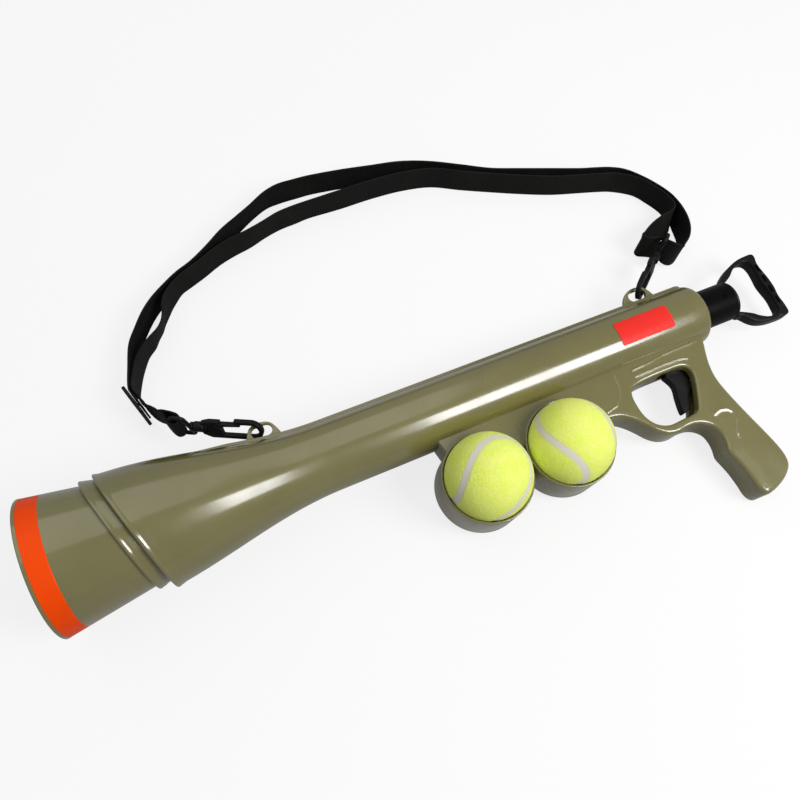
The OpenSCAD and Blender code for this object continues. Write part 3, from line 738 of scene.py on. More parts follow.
def swept(path: np.ndarray, radius: float, closed: bool, around: int = 12) -> Shape:
    """Round rod along a path.

    Args:
        path: Points of the path.
        radius: Radius of the rod.
        closed: Whether the path comes back to its start.
        around: Points around.

    Returns:
        The shape.
    """
    steps = np.roll(path, -1, axis=0) - np.roll(path, 1, axis=0) if closed else np.gradient(path, axis=0)
    ahead = unit(steps)
    side = np.cross(ahead[0], OBLIQUE)
    turn = all_round(around)
    rows = []
    for middle, way in zip(path, ahead):
        side = unit(side - way * (side @ way))
        other = np.cross(way, side)
        rows.append(middle + radius * (np.outer(np.cos(turn), side) + np.outer(np.sin(turn), other)))
    return skin(np.array(rows), along=closed)


def prism(outline: Sequence[Sequence[float]], low: float, high: float) -> Shape:
    """Straight block over an outline."""
    loop = turned_way(np.asarray(outline, float), True)
    return skin(np.array([np.column_stack([loop, np.full(len(loop), z)]) for z in (low, high)]))


@dataclass
class Ridge:
    """Raised line on a plate."""

    line: Points
    width: float
    height: float


@dataclass
class Relief:
    """Plate cut along an outline, with round edges."""

    outline: np.ndarray
    holes: Sequence[np.ndarray] = ()
    half: float = 2.0
    edge: float = 0.8
    step: float = 1.6
    turns: int = 4
    ridges: Sequence[Ridge] = ()
    crown: Callable[[np.ndarray], np.ndarray] | None = None
    fill: float = 0.0

    ridge_rows: ClassVar[tuple[float, ...]] = (-1.05, -0.7, -0.35, 0, 0.35, 0.7, 1.05)
    ridge_step: ClassVar[float] = 1.5
    ridge_gap: ClassVar[float] = 0.4
    edge_gap: ClassVar[float] = 0.93
    fill_gap: ClassVar[float] = 0.3
    weld: ClassVar[float] = 1e-5

    def loops(self) -> list[np.ndarray]:
        """Outline and holes, each with the plate on its left."""
        lines = [even_line(np.asarray(line, float), self.step, True) for line in (self.outline, *self.holes)]
        return [turned_way(line, k == 0) for k, line in enumerate(lines)]

    def heights(self, points: np.ndarray, loops: list[np.ndarray]) -> np.ndarray:
        """Height of the plate's face at each point.

        Args:
            points: Points of the face.
            loops: Outline and holes of the plate.

        Returns:
            The heights.
        """
        gap = np.min([from_line(points, loop, True) for loop in loops], axis=0)
        drop = self.edge - np.minimum(gap, self.edge)
        top = self.half - self.edge + np.sqrt(np.maximum(self.edge ** 2 - drop ** 2, 0))
        ease = np.clip(gap / self.edge, 0, 1)
        if self.crown is not None:
            top = top + self.crown(points) * ease
        for ridge in self.ridges:
            share = np.clip(from_line(points, np.asarray(ridge.line, float), False) / ridge.width, 0, 1)
            top = top + ridge.height * (1 - share ** 2) ** 2 * ease
        return top

    @staticmethod
    def on_plate(points: np.ndarray, loops: list[np.ndarray]) -> np.ndarray:
        """Whether each point lies on the plate.

        Args:
            points: Points in the plane.
            loops: Outline and holes of the plate.

        Returns:
            True for each point on the plate.
        """
        good = within(points, loops[0])
        for loop in loops[1:]:
            good &= ~within(points, loop)
        return good

    def kept(self, points: np.ndarray, loops: list[np.ndarray], gap: float) -> np.ndarray:
        """Points that lie on the plate, at least a gap from its edges.

        Args:
            points: Points in the plane.
            loops: Outline and holes of the plate.
            gap: Least distance from the edges.

        Returns:
            The points that stay.
        """
        good = self.on_plate(points, loops)
        for loop in loops:
            good &= from_line(points, loop, True) >= gap
        return points[good]

    def spots(self, loops: list[np.ndarray]) -> np.ndarray:
        """Points of the face: its edges, their rounds, its ridges and a grid over the rest.

        Args:
            loops: Outline and holes of the plate.

        Returns:
            The points, with those of the loops first.
        """
        found = list(loops)
        for loop in loops:
            inward = leftward(np.roll(loop, -1, axis=0) - np.roll(loop, 1, axis=0))
            for k in range(1, self.turns + 1):
                inset = self.edge * (1 - math.cos(math.radians(90 * k / self.turns)))
                found.append(self.kept(loop + inward * inset, loops, self.edge_gap * inset))
        for ridge in self.ridges:
            line = even_line(np.asarray(ridge.line, float), ridge.width / self.ridge_step, False)
            across = leftward(np.gradient(line, axis=0))
            for share in self.ridge_rows:
                found.append(self.kept(line + across * share * ridge.width, loops, self.ridge_gap))
        if self.fill:
            spans = zip(loops[0].min(0), loops[0].max(0))
            lattice = np.meshgrid(*[np.arange(low, high, self.fill) for low, high in spans])
            grid = np.stack(lattice, axis=-1).reshape(-1, 2)
            found.append(self.kept(grid, loops, self.edge + self.fill_gap * self.fill))
        return np.vstack(found)

    def face(self, loops: list[np.ndarray]) -> tuple[np.ndarray, list[list[int]]]:
        """Points and triangles of the plate's face, seen from above.

        Args:
            loops: Outline and holes of the plate.

        Returns:
            The points and the triangles.
        """
        sides, start = [], 0
        for loop in loops:
            count = len(loop)
            sides += [(start + i, start + (i + 1) % count) for i in range(count)]
            start += count
        spots = [Vector(spot) for spot in self.spots(loops)]
        corners, _, triangles, *_ = delaunay_2d_cdt(spots, sides, [], 1, self.weld, False)
        points = np.array([tuple(corner) for corner in corners])
        faces = np.array([triangle for triangle in triangles if len(triangle) == 3])
        faces = faces[self.on_plate(points[faces].mean(1), loops)]
        first, second, third = (points[faces[:, k]] for k in range(3))
        under = np.cross(second - first, third - first) < 0
        faces[under] = faces[under][:, ::-1]
        return points, faces.tolist()

    def build(self, low: float | None = None) -> Shape:
        """Makes the plate.

        Args:
            low: Height of a flat underside, or None for a second round face.

        Returns:
            The shape.
        """
        loops = self.loops()
        points, faces = self.face(loops)
        top = self.heights(points, loops)
        under = -top if low is None else np.full(len(points), low)
        count = len(points)
        seen = {(a, b) for f in faces for a, b in zip(f, f[1:] + f[:1])}
        shape = Shape().add(np.column_stack([points, top]), faces)
        shape.add(np.column_stack([points, under]), [face[::-1] for face in faces])
        shape.faces += [(b, a, a + count, b + count) for a, b in seen if (b, a) not in seen]
        return shape


class Join(Enum):
    """Ways of working one solid into another."""

    ADD = "UNION"
    CUT = "DIFFERENCE"
    KEEP = "INTERSECT"


def worked(base: bpy.types.Object, tools: Sequence[Shape], join: Join) -> None:
    """Works shapes into an object, one after the other.

    Args:
        base: Object that is changed.
        tools: Shapes to add, cut or keep.
        join: How they are worked in.
    """
    for tool in tools:
        cutter = tool.object("cutter")
        step = base.modifiers.new("work", "BOOLEAN")
        step.operation = join.value
        step.solver = "MANIFOLD"
        step.object = cutter
        result = base.evaluated_get(bpy.context.evaluated_depsgraph_get())
        mesh = bpy.data.meshes.new_from_object(result)
        base.modifiers.clear()
        old, base.data = base.data, mesh
        bpy.data.meshes.remove(old)
        bpy.data.meshes.remove(cutter.data)


def finished(piece: bpy.types.Object, finish: Finish, body: str, nodes: Sequence[str],
             angle: float = 32.0) -> None:
    """Gives a piece its finish and its body, and hides the solids that it stands for.

    Args:
        piece: The piece.
        finish: Its finish.
        body: Body that it rides on.
        nodes: Solids that it stands for.
        angle: Edges sharper than this many degrees stay sharp.
    """
    piece.data.shade_smooth()
    piece.data.set_sharp_from_angle(angle=math.radians(angle))
    piece.data.materials.clear()
    piece.data.materials.append(finish.material())
    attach(piece, body)
    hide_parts(*nodes)
    LOG.info("%s: %d faces on %s", piece.name, len(piece.data.polygons), body)


def painted(solids: dict[str, Finish]) -> None:
    """Gives solids that stay their finishes.

    Args:
        solids: Finishes by the names of the solids.
    """
    for node, finish in solids.items():
        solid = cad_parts[node]
        if not solid.material_slots:
            solid.data.materials.append(None)
        for slot in solid.material_slots:
            slot.material = finish.material()
        LOG.info("%s keeps its solid, in %s", node, finish.name)


def laid(piece: bpy.types.Object, matrix: np.ndarray) -> bpy.types.Object:
    """The same piece, with its mesh moved by a matrix."""
    piece.data.transform(Matrix(matrix.tolist()))
    return piece


def carried(matrix: np.ndarray, place: Sequence[float]) -> np.ndarray:
    """Place moved by a matrix."""
    return (matrix @ np.array([*place, 1.0]))[:3]


def shift(x: float = 0.0, y: float = 0.0, z: float = 0.0) -> np.ndarray:
    """Matrix of a shift.

    Args:
        x: Shift along the first axis.
        y: Shift along the second.
        z: Shift along the third.

    Returns:
        The matrix.
    """
    matrix = np.eye(4)
    matrix[:3, 3] = x, y, z
    return matrix


def spin(axis: str, degrees: float) -> np.ndarray:
    """Matrix of a turn about an axis."""
    return np.array(Matrix.Rotation(math.radians(degrees), 4, axis))


# Sizes that the pieces share


@dataclass(frozen=True)
class LauncherSizes:
    """Sizes of the launcher in millimetres, and how it lies on the floor."""

    rim_r: float = 49.0
    muzzle_wall: float = 2.4
    muzzle_l: float = 86.0
    collar_h: float = 2.2
    collar_gap: float = 1.8
    collar_x: float = 52.0
    horn_x: float = 62.0
    slant: float = 16.6
    bell_r: float = 46.3
    flare_x: float = 45.0
    flare_l: float = 160.0
    barrel_r: float = 25.5
    rear_r: float = 24.4
    body_l: float = 524.0
    rear_round: float = 5.0
    shell_wall: float = 2.6
    bore_r: float = 21.6
    rear_wall: float = 3.5
    rib_h: float = 2.2
    lug_places: tuple[float, float] = (165.5, 487.0)
    lug_rise: float = 4.9
    trigger_x: float = 480.0
    ball_r: float = 32.0
    cup_r: float = 34.1
    cup_y: float = -60.5
    ball_z: float = 17.4
    cup_places: tuple[float, float] = (300.0, 368.7)
    tube_r: float = 16.0
    handle_x: float = 556.0
    travel: float = 120.0
    butt: tuple[float, float] = (28.5, -117.7)
    grip_half: float = 14.0
    centre: tuple[float, float] = (299.38, 51.53)

    def flare(self, x: np.ndarray | float) -> np.ndarray:
        """Share of the flare at a place."""
        return (1 + np.cos(math.pi * np.clip((np.asarray(x) - self.flare_x) / self.flare_l, 0, 1))) / 2

    def barrel_at(self, x: np.ndarray | float) -> np.ndarray:
        """Radius of the barrel without its flare.

        Args:
            x: Places behind the muzzle rim.

        Returns:
            The radii.
        """
        end = self.flare_x + self.flare_l
        share = np.maximum(0, (np.asarray(x) - end) / (self.body_l - end))
        return self.barrel_r + (self.rear_r - self.barrel_r) * share

    def outer_at(self, x: np.ndarray | float) -> np.ndarray:
        """Outer radius at a place."""
        return self.barrel_at(x) + (self.bell_r - self.barrel_r) * self.flare(x)

    def inner_at(self, x: np.ndarray | float) -> np.ndarray:
        """Inner radius at a place."""
        return self.bore_r + (self.bell_r - self.shell_wall - self.bore_r) * self.flare(x)

    def muzzle_at(self, x: np.ndarray | float) -> np.ndarray:
        """Outer radius of the muzzle cone."""
        neck = self.inner_at(self.horn_x) - self.collar_h - self.collar_gap
        return self.rim_r - (self.rim_r - neck) * np.asarray(x) / self.horn_x

    def lug_y(self, x: float) -> float:
        """Height of a lug's slot over the barrel's axis."""
        return float(self.outer_at(x)) + self.rib_h + self.lug_rise

    def barrel_end(self) -> float:
        """Place where the round of the rear edge starts."""
        return self.body_l - self.rear_round

    def pitch(self) -> float:
        """Pitch of the barrel as it lies, in degrees."""
        return math.degrees(math.atan((self.rim_r - self.rear_r) / self.barrel_end()))

    def roll(self) -> float:
        """Roll of the launcher as it lies, in degrees.

        Returns:
            The angle.
        """
        drop = self.rim_r - (self.trigger_x + self.butt[0]) * math.tan(math.radians(self.pitch()))
        reach = self.barrel_r - self.butt[1]
        tilt = math.atan2(self.grip_half, reach)
        return math.degrees(math.asin(drop / math.hypot(reach, self.grip_half)) - tilt)

    def floor(self) -> np.ndarray:
        """Matrix from the floor's millimetres to the scene's metres."""
        scale = np.diag([MILLIMETRE, MILLIMETRE, MILLIMETRE, 1.0])
        return scale @ shift(-self.centre[0], -self.centre[1])

    def lying(self) -> np.ndarray:
        """Matrix from the launcher's millimetres to the scene's metres."""
        lift = self.rim_r * math.cos(math.radians(self.pitch()))
        return self.floor() @ shift(z=lift) @ spin("Y", self.pitch()) @ spin("X", self.roll())

    def grip(self) -> np.ndarray:
        """Matrix from the grip's axes to the launcher's."""
        return shift(self.trigger_x, -self.barrel_r)

    def slant_x(self, x: float, y: np.ndarray | float) -> np.ndarray:
        """Place of a slanted edge that crosses the barrel's axis at x."""
        return x - np.asarray(y) * math.tan(math.radians(self.slant))


SIZES = LauncherSizes()


def lathe_row(x: np.ndarray | float, r: np.ndarray | float, turn: np.ndarray) -> np.ndarray:
    """Row of points around the barrel's axis.

    Args:
        x: Places behind the muzzle rim.
        r: Radii.
        turn: Angles around the axis.

    Returns:
        The points.
    """
    size = np.broadcast_to(np.asarray(r, float), turn.shape)
    place = np.broadcast_to(np.asarray(x, float), turn.shape)
    return np.column_stack([place, size * np.cos(turn), size * np.sin(turn)])


@dataclass(frozen=True)
class SlantedLip:
    """Rounded lip with a bead, along a slanted edge around the barrel."""

    at: float
    rounding: float
    step_in: float
    bead: float = 0.8
    bead_w: float = 4.5
    settle: int = 6

    def section(self) -> list[tuple[float, float]]:
        """Insets from the outer radius and pushes along the barrel, from the inside to the outside.

        Returns:
            Pairs of an inset and a push.
        """
        lip = self.rounding
        quarter = np.radians(np.linspace(0, 90, 6))
        front = [(lip * (1 - math.sin(a)) - self.bead, lip * (1 - math.cos(a))) for a in quarter]
        fall = [(-self.bead * (1 + math.cos(math.pi * share)) / 2, lip + (self.bead_w - lip) * share)
                for share in np.linspace(0.1, 1, 9)]
        return [(self.step_in, 0.0), *front, *fall]

    def rows(self, radius: Callable[[np.ndarray], np.ndarray], turn: np.ndarray) -> list[np.ndarray]:
        """Rows of points of the lip.

        Args:
            radius: Outer radius behind the edge.
            turn: Angles around.

        Returns:
            Rows of points, from the inside to the outside.
        """
        size = np.full(len(turn), float(radius(self.at)))
        for _ in range(self.settle):
            size = radius(SIZES.slant_x(self.at, size * np.cos(turn)))
        rows = []
        for inset, push in self.section():
            r = size - inset
            rows.append(lathe_row(SIZES.slant_x(self.at, r * np.cos(turn)) + push, r, turn))
        return rows


# Sub-assemblies


@dataclass
class Shells:
    """The two moulded halves with horn, barrel, cups, web, guard and grip."""

    seam: float = 0.07
    overlap: float = 1.0
    around: int = 144
    smooth: float = 30.0

    lip: SlantedLip = SlantedLip(SIZES.horn_x, 1.2, 8.0)
    lip_end: float = 105.0
    flare_rows: tuple[float, float, int] = (109.0, 209.0, 26)
    barrel_rows: tuple[float, int] = (222.0, 24)
    rear_flat: float = 1.5
    bore_front: float = 30.0
    bore_rows: tuple[float, float, int] = (40.0, 210.0, 43)
    tube_gap: float = 0.6
    mouth_ease: float = 0.8
    mouth_gap: float = 2.4

    rib_half: float = 5.0
    rib_tip: float = 1.2
    rib_edge: float = 0.9
    rib_sink: float = 0.5
    rib_root: float = 3.0
    rib_x: float = 95.0
    rib_rise: float = 45.0
    rib_flare_rows: tuple[float, int] = (209.0, 32)
    rib_rows: tuple[float, int] = (230.0, 14)
    rib_end: ClassVar[Points] = ((1.4, 0.2), (2.6, 0.4), (3.5, 0.7), (4.1, 1.0))
    lug_half: float = 2.0
    lug_edge: float = 0.8
    lug_hole_r: float = 4.3
    lug_slot: float = 7.0
    lug_reach: float = 9.0
    lug_points: ClassVar[tuple[Points, Points]] = (
        ((-15, -11), (-11.5, 1), (-6, 7.6), (7.5, 6.4), (12, -3), (14, -11)),
        ((-18.5, -11), (-13, 1), (-6, 6.5), (3, 7.4), (10.5, 4), (16, -11)))

    web_half: float = 12.0
    frame_edge: float = 2.4
    swell: float = 1.2
    swell_ease: float = 16.0
    frame_points: ClassVar[Points] = (
        (-100, 8), (-100, -29), (-78, -29.2), (-65, -31), (-56, -37), (-49, -44.5), (-43, -52), (-36, -57.1),
        (-28, -59), (-19, -58.1), (-11, -58.7), (-4, -61.7), (1, -67), (2.6, -74), (2, -80.5), (0.6, -86.5),
        (2.3, -93.5), (4.2, -101.5), (5.5, -111.5), (6.2, -120.5), (10, -126.3), (17, -126.1), (26, -123.3),
        (34, -119.1), (39.6, -113.5), (41.2, -106), (40, -96.5), (36.8, -84), (32.5, -69), (28.6, -54.5),
        (25.6, -41.5), (24.3, -30.5), (25.6, -19.5), (28.6, -9.5), (31.5, -1), (33, 8))
    swell_points: ClassVar[Points] = (
        (12, -50), (8.5, -62), (6, -75), (5.5, -87), (7.5, -97), (8, -108), (7, -122), (10, -137), (26, -138),
        (41, -132), (43, -112), (39, -97), (34, -83.5), (29, -68.5), (24, -54), (20, -46))
    guard_points: ClassVar[Points] = (
        (-43, -15), (-46.2, -19.5), (-47, -26.5), (-46, -36.5), (-42.5, -44), (-37, -49), (-30, -51.5),
        (-20, -51.3), (-10, -50.7), (-4, -49), (-0.5, -43.5), (5, -31.5), (8, -22.5), (7, -16.5), (2, -13.3),
        (-10, -12.7), (-30, -12.9))
    web_ridges: ClassVar[tuple[Ridge, ...]] = (
        Ridge(((-37, -1.8), (-25, -1.2), (-8, 0.6), (9, 1), (25, 1.2)), 0.9, 0.5),
        Ridge(((-36.5, -7.2), (-25, -7), (-11, -6.8), (3, -7.2), (10, -9)), 0.9, 0.5),
        Ridge(((-52, 0), (-52.5, -9), (-55.5, -17), (-62, -22.5), (-72, -24.6)), 0.9, 0.35),
        Ridge(((5.5, -57), (11, -55.5), (17, -57), (21, -61.5), (20.5, -68.5), (14, -78)), 2.4, 0.6))

    lock_half: float = 8.0
    hollow_half: float = 10.0
    slot_half: float = 5.0
    lock_points: ClassVar[Points] = (
        (-83, 0.5), (-83, -23), (-77, -26.6), (-54, -26.6), (-49.5, -18.5), (-48, -10.1), (22, -10.1),
        (22, 0.5))
    hollow_points: ClassVar[Points] = (
        (11, -9), (21.5, -9), (21, -30.5), (22, -42.5), (25, -55.5), (29, -70.5), (33, -85.5), (36.5, -98.5),
        (37.5, -106.5), (36, -111.5), (31, -115.5), (24, -119), (15, -121.5), (10.5, -120.5), (9.5, -111.5),
        (8, -98.5), (6.5, -86.5), (6.5, -74.5), (6, -66), (9, -54), (11.5, -41), (13, -26.5))
    slot_points: ClassVar[Points] = ((-16, -9), (-16, -14), (-6, -50.2), (3, -50.5), (14.5, -34), (16, -9))
    catch_points: ClassVar[Points] = ((-52, -1), (-38, -1), (-38, 13), (-52, 13))

    cup_around: int = 128
    cup_back: float = 17.5
    cup_back_round: float = 1.6
    cup_rim: float = 16.0
    cup_rim_round: float = 0.6
    cup_seam_round: float = 0.3
    cup_floor: float = 2.6
    ball_gap: float = 0.3
    cup_web_edge: float = 1.6
    cup_web_front: float = 23.0
    cup_web_foot: tuple[float, float] = (19.0, 25.0)
    cup_web_in: float = 10.0
    room_floor: ClassVar[Points] = ((0, -2), (0.6, -0.6), (2, 0))
    room_mouth: ClassVar[Points] = ((-0.7, 0), (-0.2, 0.25), (0, 0.8), (40, 0.8))

    room: tuple[float, float, float] = (-100.0, 700.0, 300.0)

    def barrel(self) -> Shape:
        """Filled horn and barrel with a round lip and a round rear edge.

        Returns:
            The shape.
        """
        turn = all_round(self.around)
        rows = self.lip.rows(SIZES.outer_at, turn)
        start = rows[-1][:, 0]
        rest = SIZES.barrel_end()
        first, count = self.barrel_rows
        places = [start + (self.lip_end - start) * share for share in shares(10)]
        places += [*np.linspace(*self.flare_rows), *np.linspace(first, rest, count)]
        rows += [lathe_row(x, SIZES.outer_at(x), turn) for x in places]
        for a in np.radians(np.linspace(10, 90, 9)):
            r = SIZES.rear_r - SIZES.rear_round * (1 - math.cos(a))
            rows.append(lathe_row(rest + SIZES.rear_round * math.sin(a), r, turn))
        rows.append(lathe_row(SIZES.body_l, SIZES.rear_r - SIZES.rear_round - self.rear_flat, turn))
        return skin(np.array(rows))

    def bore(self) -> list[Shape]:
        """Space inside the horn and the barrel, and the hole for the tube.

        Returns:
            The two shapes to cut.
        """
        end = SIZES.body_l - SIZES.rear_wall
        places = np.concatenate([[self.bore_front], np.linspace(*self.bore_rows), [end]])
        r = SIZES.tube_r + self.tube_gap
        hole = [(end - self.overlap, r), (SIZES.body_l - self.mouth_ease, r),
                (SIZES.body_l + self.overlap, SIZES.tube_r + self.mouth_gap)]
        space = [(x, float(SIZES.inner_at(x))) for x in places]
        return [turned(profile, around=self.around) for profile in (space, hole)]

    def rib(self) -> Shape:
        """Flat rib along the top, which rises out of the horn.

        Returns:
            The shape.
        """
        rest = SIZES.barrel_end()
        first, count = self.rib_rows
        edge = self.rib_edge
        rows = []
        for x in [*np.linspace(self.rib_x, *self.rib_flare_rows), *np.linspace(first, rest, count)]:
            share = min(1.0, (x - self.rib_x) / self.rib_rise)
            top = float(SIZES.outer_at(x)) + (SIZES.rib_h + self.rib_sink) * share - self.rib_sink
            half = self.rib_tip + (self.rib_half - self.rib_tip) * math.sqrt(share)
            right = arc((half - edge, top - edge), edge, 0, 90, 4)
            left = arc((edge - half, top - edge), edge, 90, 180, 4)
            loop = np.vstack([[(-half, self.rib_root), (half, self.rib_root)], right, left])
            rows.append(np.column_stack([np.full(len(loop), x), loop[:, 1], loop[:, 0]]))
        for push, drop in self.rib_end:
            rows.append(rows[-1].copy())
            rows[-1][:, 0] = rest + push
            rows[-1][2:, 1] -= drop
        return skin(np.array(rows)[:, ::-1])

    def lug_loop(self) -> np.ndarray:
        """Outline of a lug's slot.

        Returns:
            Points of the outline.
        """
        middle = self.lug_slot / 2
        return np.vstack([arc((middle, 0), self.lug_hole_r, -90, 90),
                          arc((-middle, 0), self.lug_hole_r, 90, 270)])

    def lugs(self) -> list[Shape]:
        """Sling lugs with their slots.

        Returns:
            The two lugs.
        """
        made = []
        for x, outline in zip(SIZES.lug_places, self.lug_points):
            plate = Relief(softened(outline), [self.lug_loop()], self.lug_half, self.lug_edge, 1.0, turns=3)
            made.append(plate.build().moved(shift(x, SIZES.lug_y(x))))
        return made

    def lug_cuts(self) -> list[Shape]:
        """Room through the rib for each lug's slot."""
        room = prism(self.lug_loop(), -self.lug_reach, self.lug_reach)
        return [room.moved(shift(x, SIZES.lug_y(x))) for x in SIZES.lug_places]

    def crown(self, points: np.ndarray) -> np.ndarray:
        """Swell of the grip's side.

        Args:
            points: Points in the plane of the plate.

        Returns:
            Height of the swell at each point.
        """
        loop = curve_through(self.swell_points, 4, True)
        gap = from_line(points, loop, True) * np.where(within(points, loop), 1, -1)
        return self.swell * eased((gap + self.swell_ease / 2) / self.swell_ease)

    def frame_plate(self) -> Shape:
        """Left half of the web, guard and grip.

        Returns:
            The plate on the launcher's axes.
        """
        outline, guard = (curve_through(points, 5, True) for points in (self.frame_points, self.guard_points))
        plate = Relief(outline, [guard], self.web_half, self.frame_edge, step=1.5, turns=5,
                       ridges=self.web_ridges, crown=self.crown, fill=2.2)
        return plate.build(-self.overlap).moved(SIZES.grip())

    def cup_web(self) -> Shape:
        """Left half of the web between the barrel and the cups.

        Returns:
            The plate.
        """
        first, last = SIZES.cup_places
        low, high = SIZES.cup_y, -SIZES.barrel_r
        rear = last + SIZES.cup_r
        foot, rise = self.cup_web_foot
        within_cup, within_barrel = low + self.cup_web_in, high + self.cup_web_in
        outline = ((first - self.cup_web_front, within_barrel), (first - foot, low + rise),
                   (first, within_cup), (last, within_cup), (rear, high), (rear, within_barrel))
        plate = Relief(np.array(outline), [], self.web_half, self.cup_web_edge, step=2.0, turns=3)
        return plate.build(-self.overlap)

    def at_cups(self, profile: Sequence[Sequence[float]]) -> list[Shape]:
        """Piece turned over a profile, once at each cup."""
        one = turned(profile, Axis.SIDE, around=self.cup_around)
        return [one.moved(shift(x, SIZES.cup_y)) for x in SIZES.cup_places]

    def cup_walls(self, low: float, high: float, low_round: float, high_round: float) -> list[Shape]:
        """Filled cups with round rims.

        Args:
            low: Lower end of the wall.
            high: Upper end of the wall.
            low_round: Rounding of the lower end.
            high_round: Rounding of the upper end.

        Returns:
            The two cups.
        """
        outer = arc((SIZES.cup_r - high_round, high - high_round), high_round, 0, 90, 4)
        inner = arc((SIZES.cup_r - low_round, low + low_round), low_round, -90, 0, 4)
        return self.at_cups([(z, r) for r, z in np.vstack([inner, outer])])

    def cup_rooms(self) -> list[Shape]:
        """Room for each ball, with an eased mouth.

        Returns:
            The two shapes to cut.
        """
        r = SIZES.ball_r + self.ball_gap
        low = self.cup_floor - self.cup_back
        floor = [(low + z, r + out) for z, out in self.room_floor]
        mouth = [(self.cup_rim + z, r + out) for z, out in self.room_mouth]
        return self.at_cups(floor + mouth)

    def lock_rooms(self) -> list[Shape]:
        """Spaces for the trigger and the sear, and the hollow of the grip.

        Returns:
            The shapes to cut away.
        """
        rooms = ((self.lock_points, self.lock_half), (self.hollow_points, self.hollow_half),
                 (self.slot_points, self.slot_half), (self.catch_points, self.slot_half))
        return [prism(points, -half, half).moved(SIZES.grip()) for points, half in rooms]

    def half_space(self, left: bool) -> Shape:
        """Everything on one side of the seam.

        Args:
            left: Whether it is the left side.

        Returns:
            The shape.
        """
        front, rear, side = self.room
        square = ((front, -side), (rear, -side), (rear, side), (front, side))
        return prism(square, self.seam, side) if left else prism(square, -side, -self.seam)

    def build_half(self, left: bool) -> bpy.types.Object:
        """Builds one half shell.

        Args:
            left: Whether it is the left half.

        Returns:
            The half shell.
        """
        plates = [self.frame_plate(), self.cup_web()]
        cuts = [*self.bore(), *self.lug_cuts(), *self.cup_rooms(), *self.lock_rooms()]
        if left:
            cups = self.cup_walls(-self.overlap, self.cup_rim, self.cup_seam_round, self.cup_rim_round)
        else:
            plates = [plate.mirrored() for plate in plates]
            cups = self.cup_walls(-self.cup_back, self.overlap, self.cup_back_round, self.cup_seam_round)
            cuts += CaseScrews().holes()
        shell = self.barrel().object("left_half" if left else "right_half")
        worked(shell, [self.rib(), *self.lugs(), *plates, *cups], Join.ADD)
        worked(shell, cuts, Join.CUT)
        worked(shell, [self.half_space(left)], Join.KEEP)
        return laid(shell, SIZES.lying())

    def build(self) -> None:
        """Builds both half shells."""
        for left in (True, False):
            node = "left_shell" if left else "right_shell"
            finished(self.build_half(left), OLIVE, "base", [node], self.smooth)


@dataclass
class CaseScrews:
    """Pan-head screws that hold the half shells together, and the recesses that they go into."""

    places: ClassVar[Points] = ((334.35, -41.5), (391.7, -31.0), (497.0, -86.0), (505.0, -128.0))
    seat: float = -7.0
    hole_r: float = 3.2
    hole_end: float = -60.0
    profile: ClassVar[Points] = (
        (-2.4, 1.2), (-2.3, 1.9), (-1.9, 2.6), (-1.2, 3.0), (0, 3.0), (0, 1.5), (13.6, 1.5), (14.5, 0.4))
    cross: tuple[float, float] = (1.7, 0.35)
    cross_round: float = 0.2
    cross_span: tuple[float, float] = (-5.0, -1.2)
    turn: float = 11.0
    turn_cycle: float = 7.0

    def holes(self) -> list[Shape]:
        """Recesses of the screws, to cut from the right half."""
        hole = turned([(z, self.hole_r) for z in (self.hole_end, self.seat)], Axis.SIDE, around=32)
        return [hole.moved(shift(*place)) for place in self.places]

    def screw(self) -> Shape:
        """Screw with a cross recess, on its own axis.

        Returns:
            The shape.
        """
        profile = [(self.seat + z, r) for z, r in self.profile]
        made = turned(profile, Axis.SIDE, around=40).object("screw")
        low, high = (self.seat + z for z in self.cross_span)
        bars = [round_box(-x, -y, x, y, self.cross_round) for x, y in (self.cross, self.cross[::-1])]
        worked(made, [prism(bar, low, high) for bar in bars], Join.CUT)
        points = np.array([tuple(v.co) for v in made.data.vertices])
        screw = Shape(points, [tuple(p.vertices) for p in made.data.polygons])
        bpy.data.meshes.remove(made.data)
        return screw

    def build(self) -> None:
        """Builds all screws as one piece, each turned its own way."""
        screw, whole = self.screw(), Shape()
        for x, y in self.places:
            whole.join(screw.moved(shift(x, y) @ spin("Z", self.turn * (x % self.turn_cycle))))
        finished(whole.object("case_screw_set", SIZES.lying()), STEEL, "base", ["case_screws"])


@dataclass
class Label:
    """Plain printed label that follows the barrel."""

    size: tuple[float, float] = (48.0, 19.8)
    corner: float = 1.4
    middle: float = 465.0
    half: float = 0.15
    edge: float = 0.12
    lift: float = 0.25
    smooth: float = 40.0

    def film(self) -> Shape:
        """Film of the label, bent round the barrel.

        Returns:
            The shape on the launcher's axes.
        """
        long, high = (size / 2 for size in self.size)
        outline = round_box(-long, -high, long, high, self.corner)
        film = Relief(outline, half=self.half, edge=self.edge, step=1.4, turns=2, fill=1.6).build()
        x = film.points[:, 0] + self.middle
        r = SIZES.barrel_at(x) + self.lift + film.points[:, 2]
        turn = math.pi / 2 - film.points[:, 1] / SIZES.barrel_at(self.middle)
        film.points = np.column_stack([x, r * np.cos(turn), r * np.sin(turn)])
        return film

    def build(self) -> None:
        """Builds the label."""
        finished(self.film().object("red_label", SIZES.lying()), RED, "base", ["blank_label"], self.smooth)


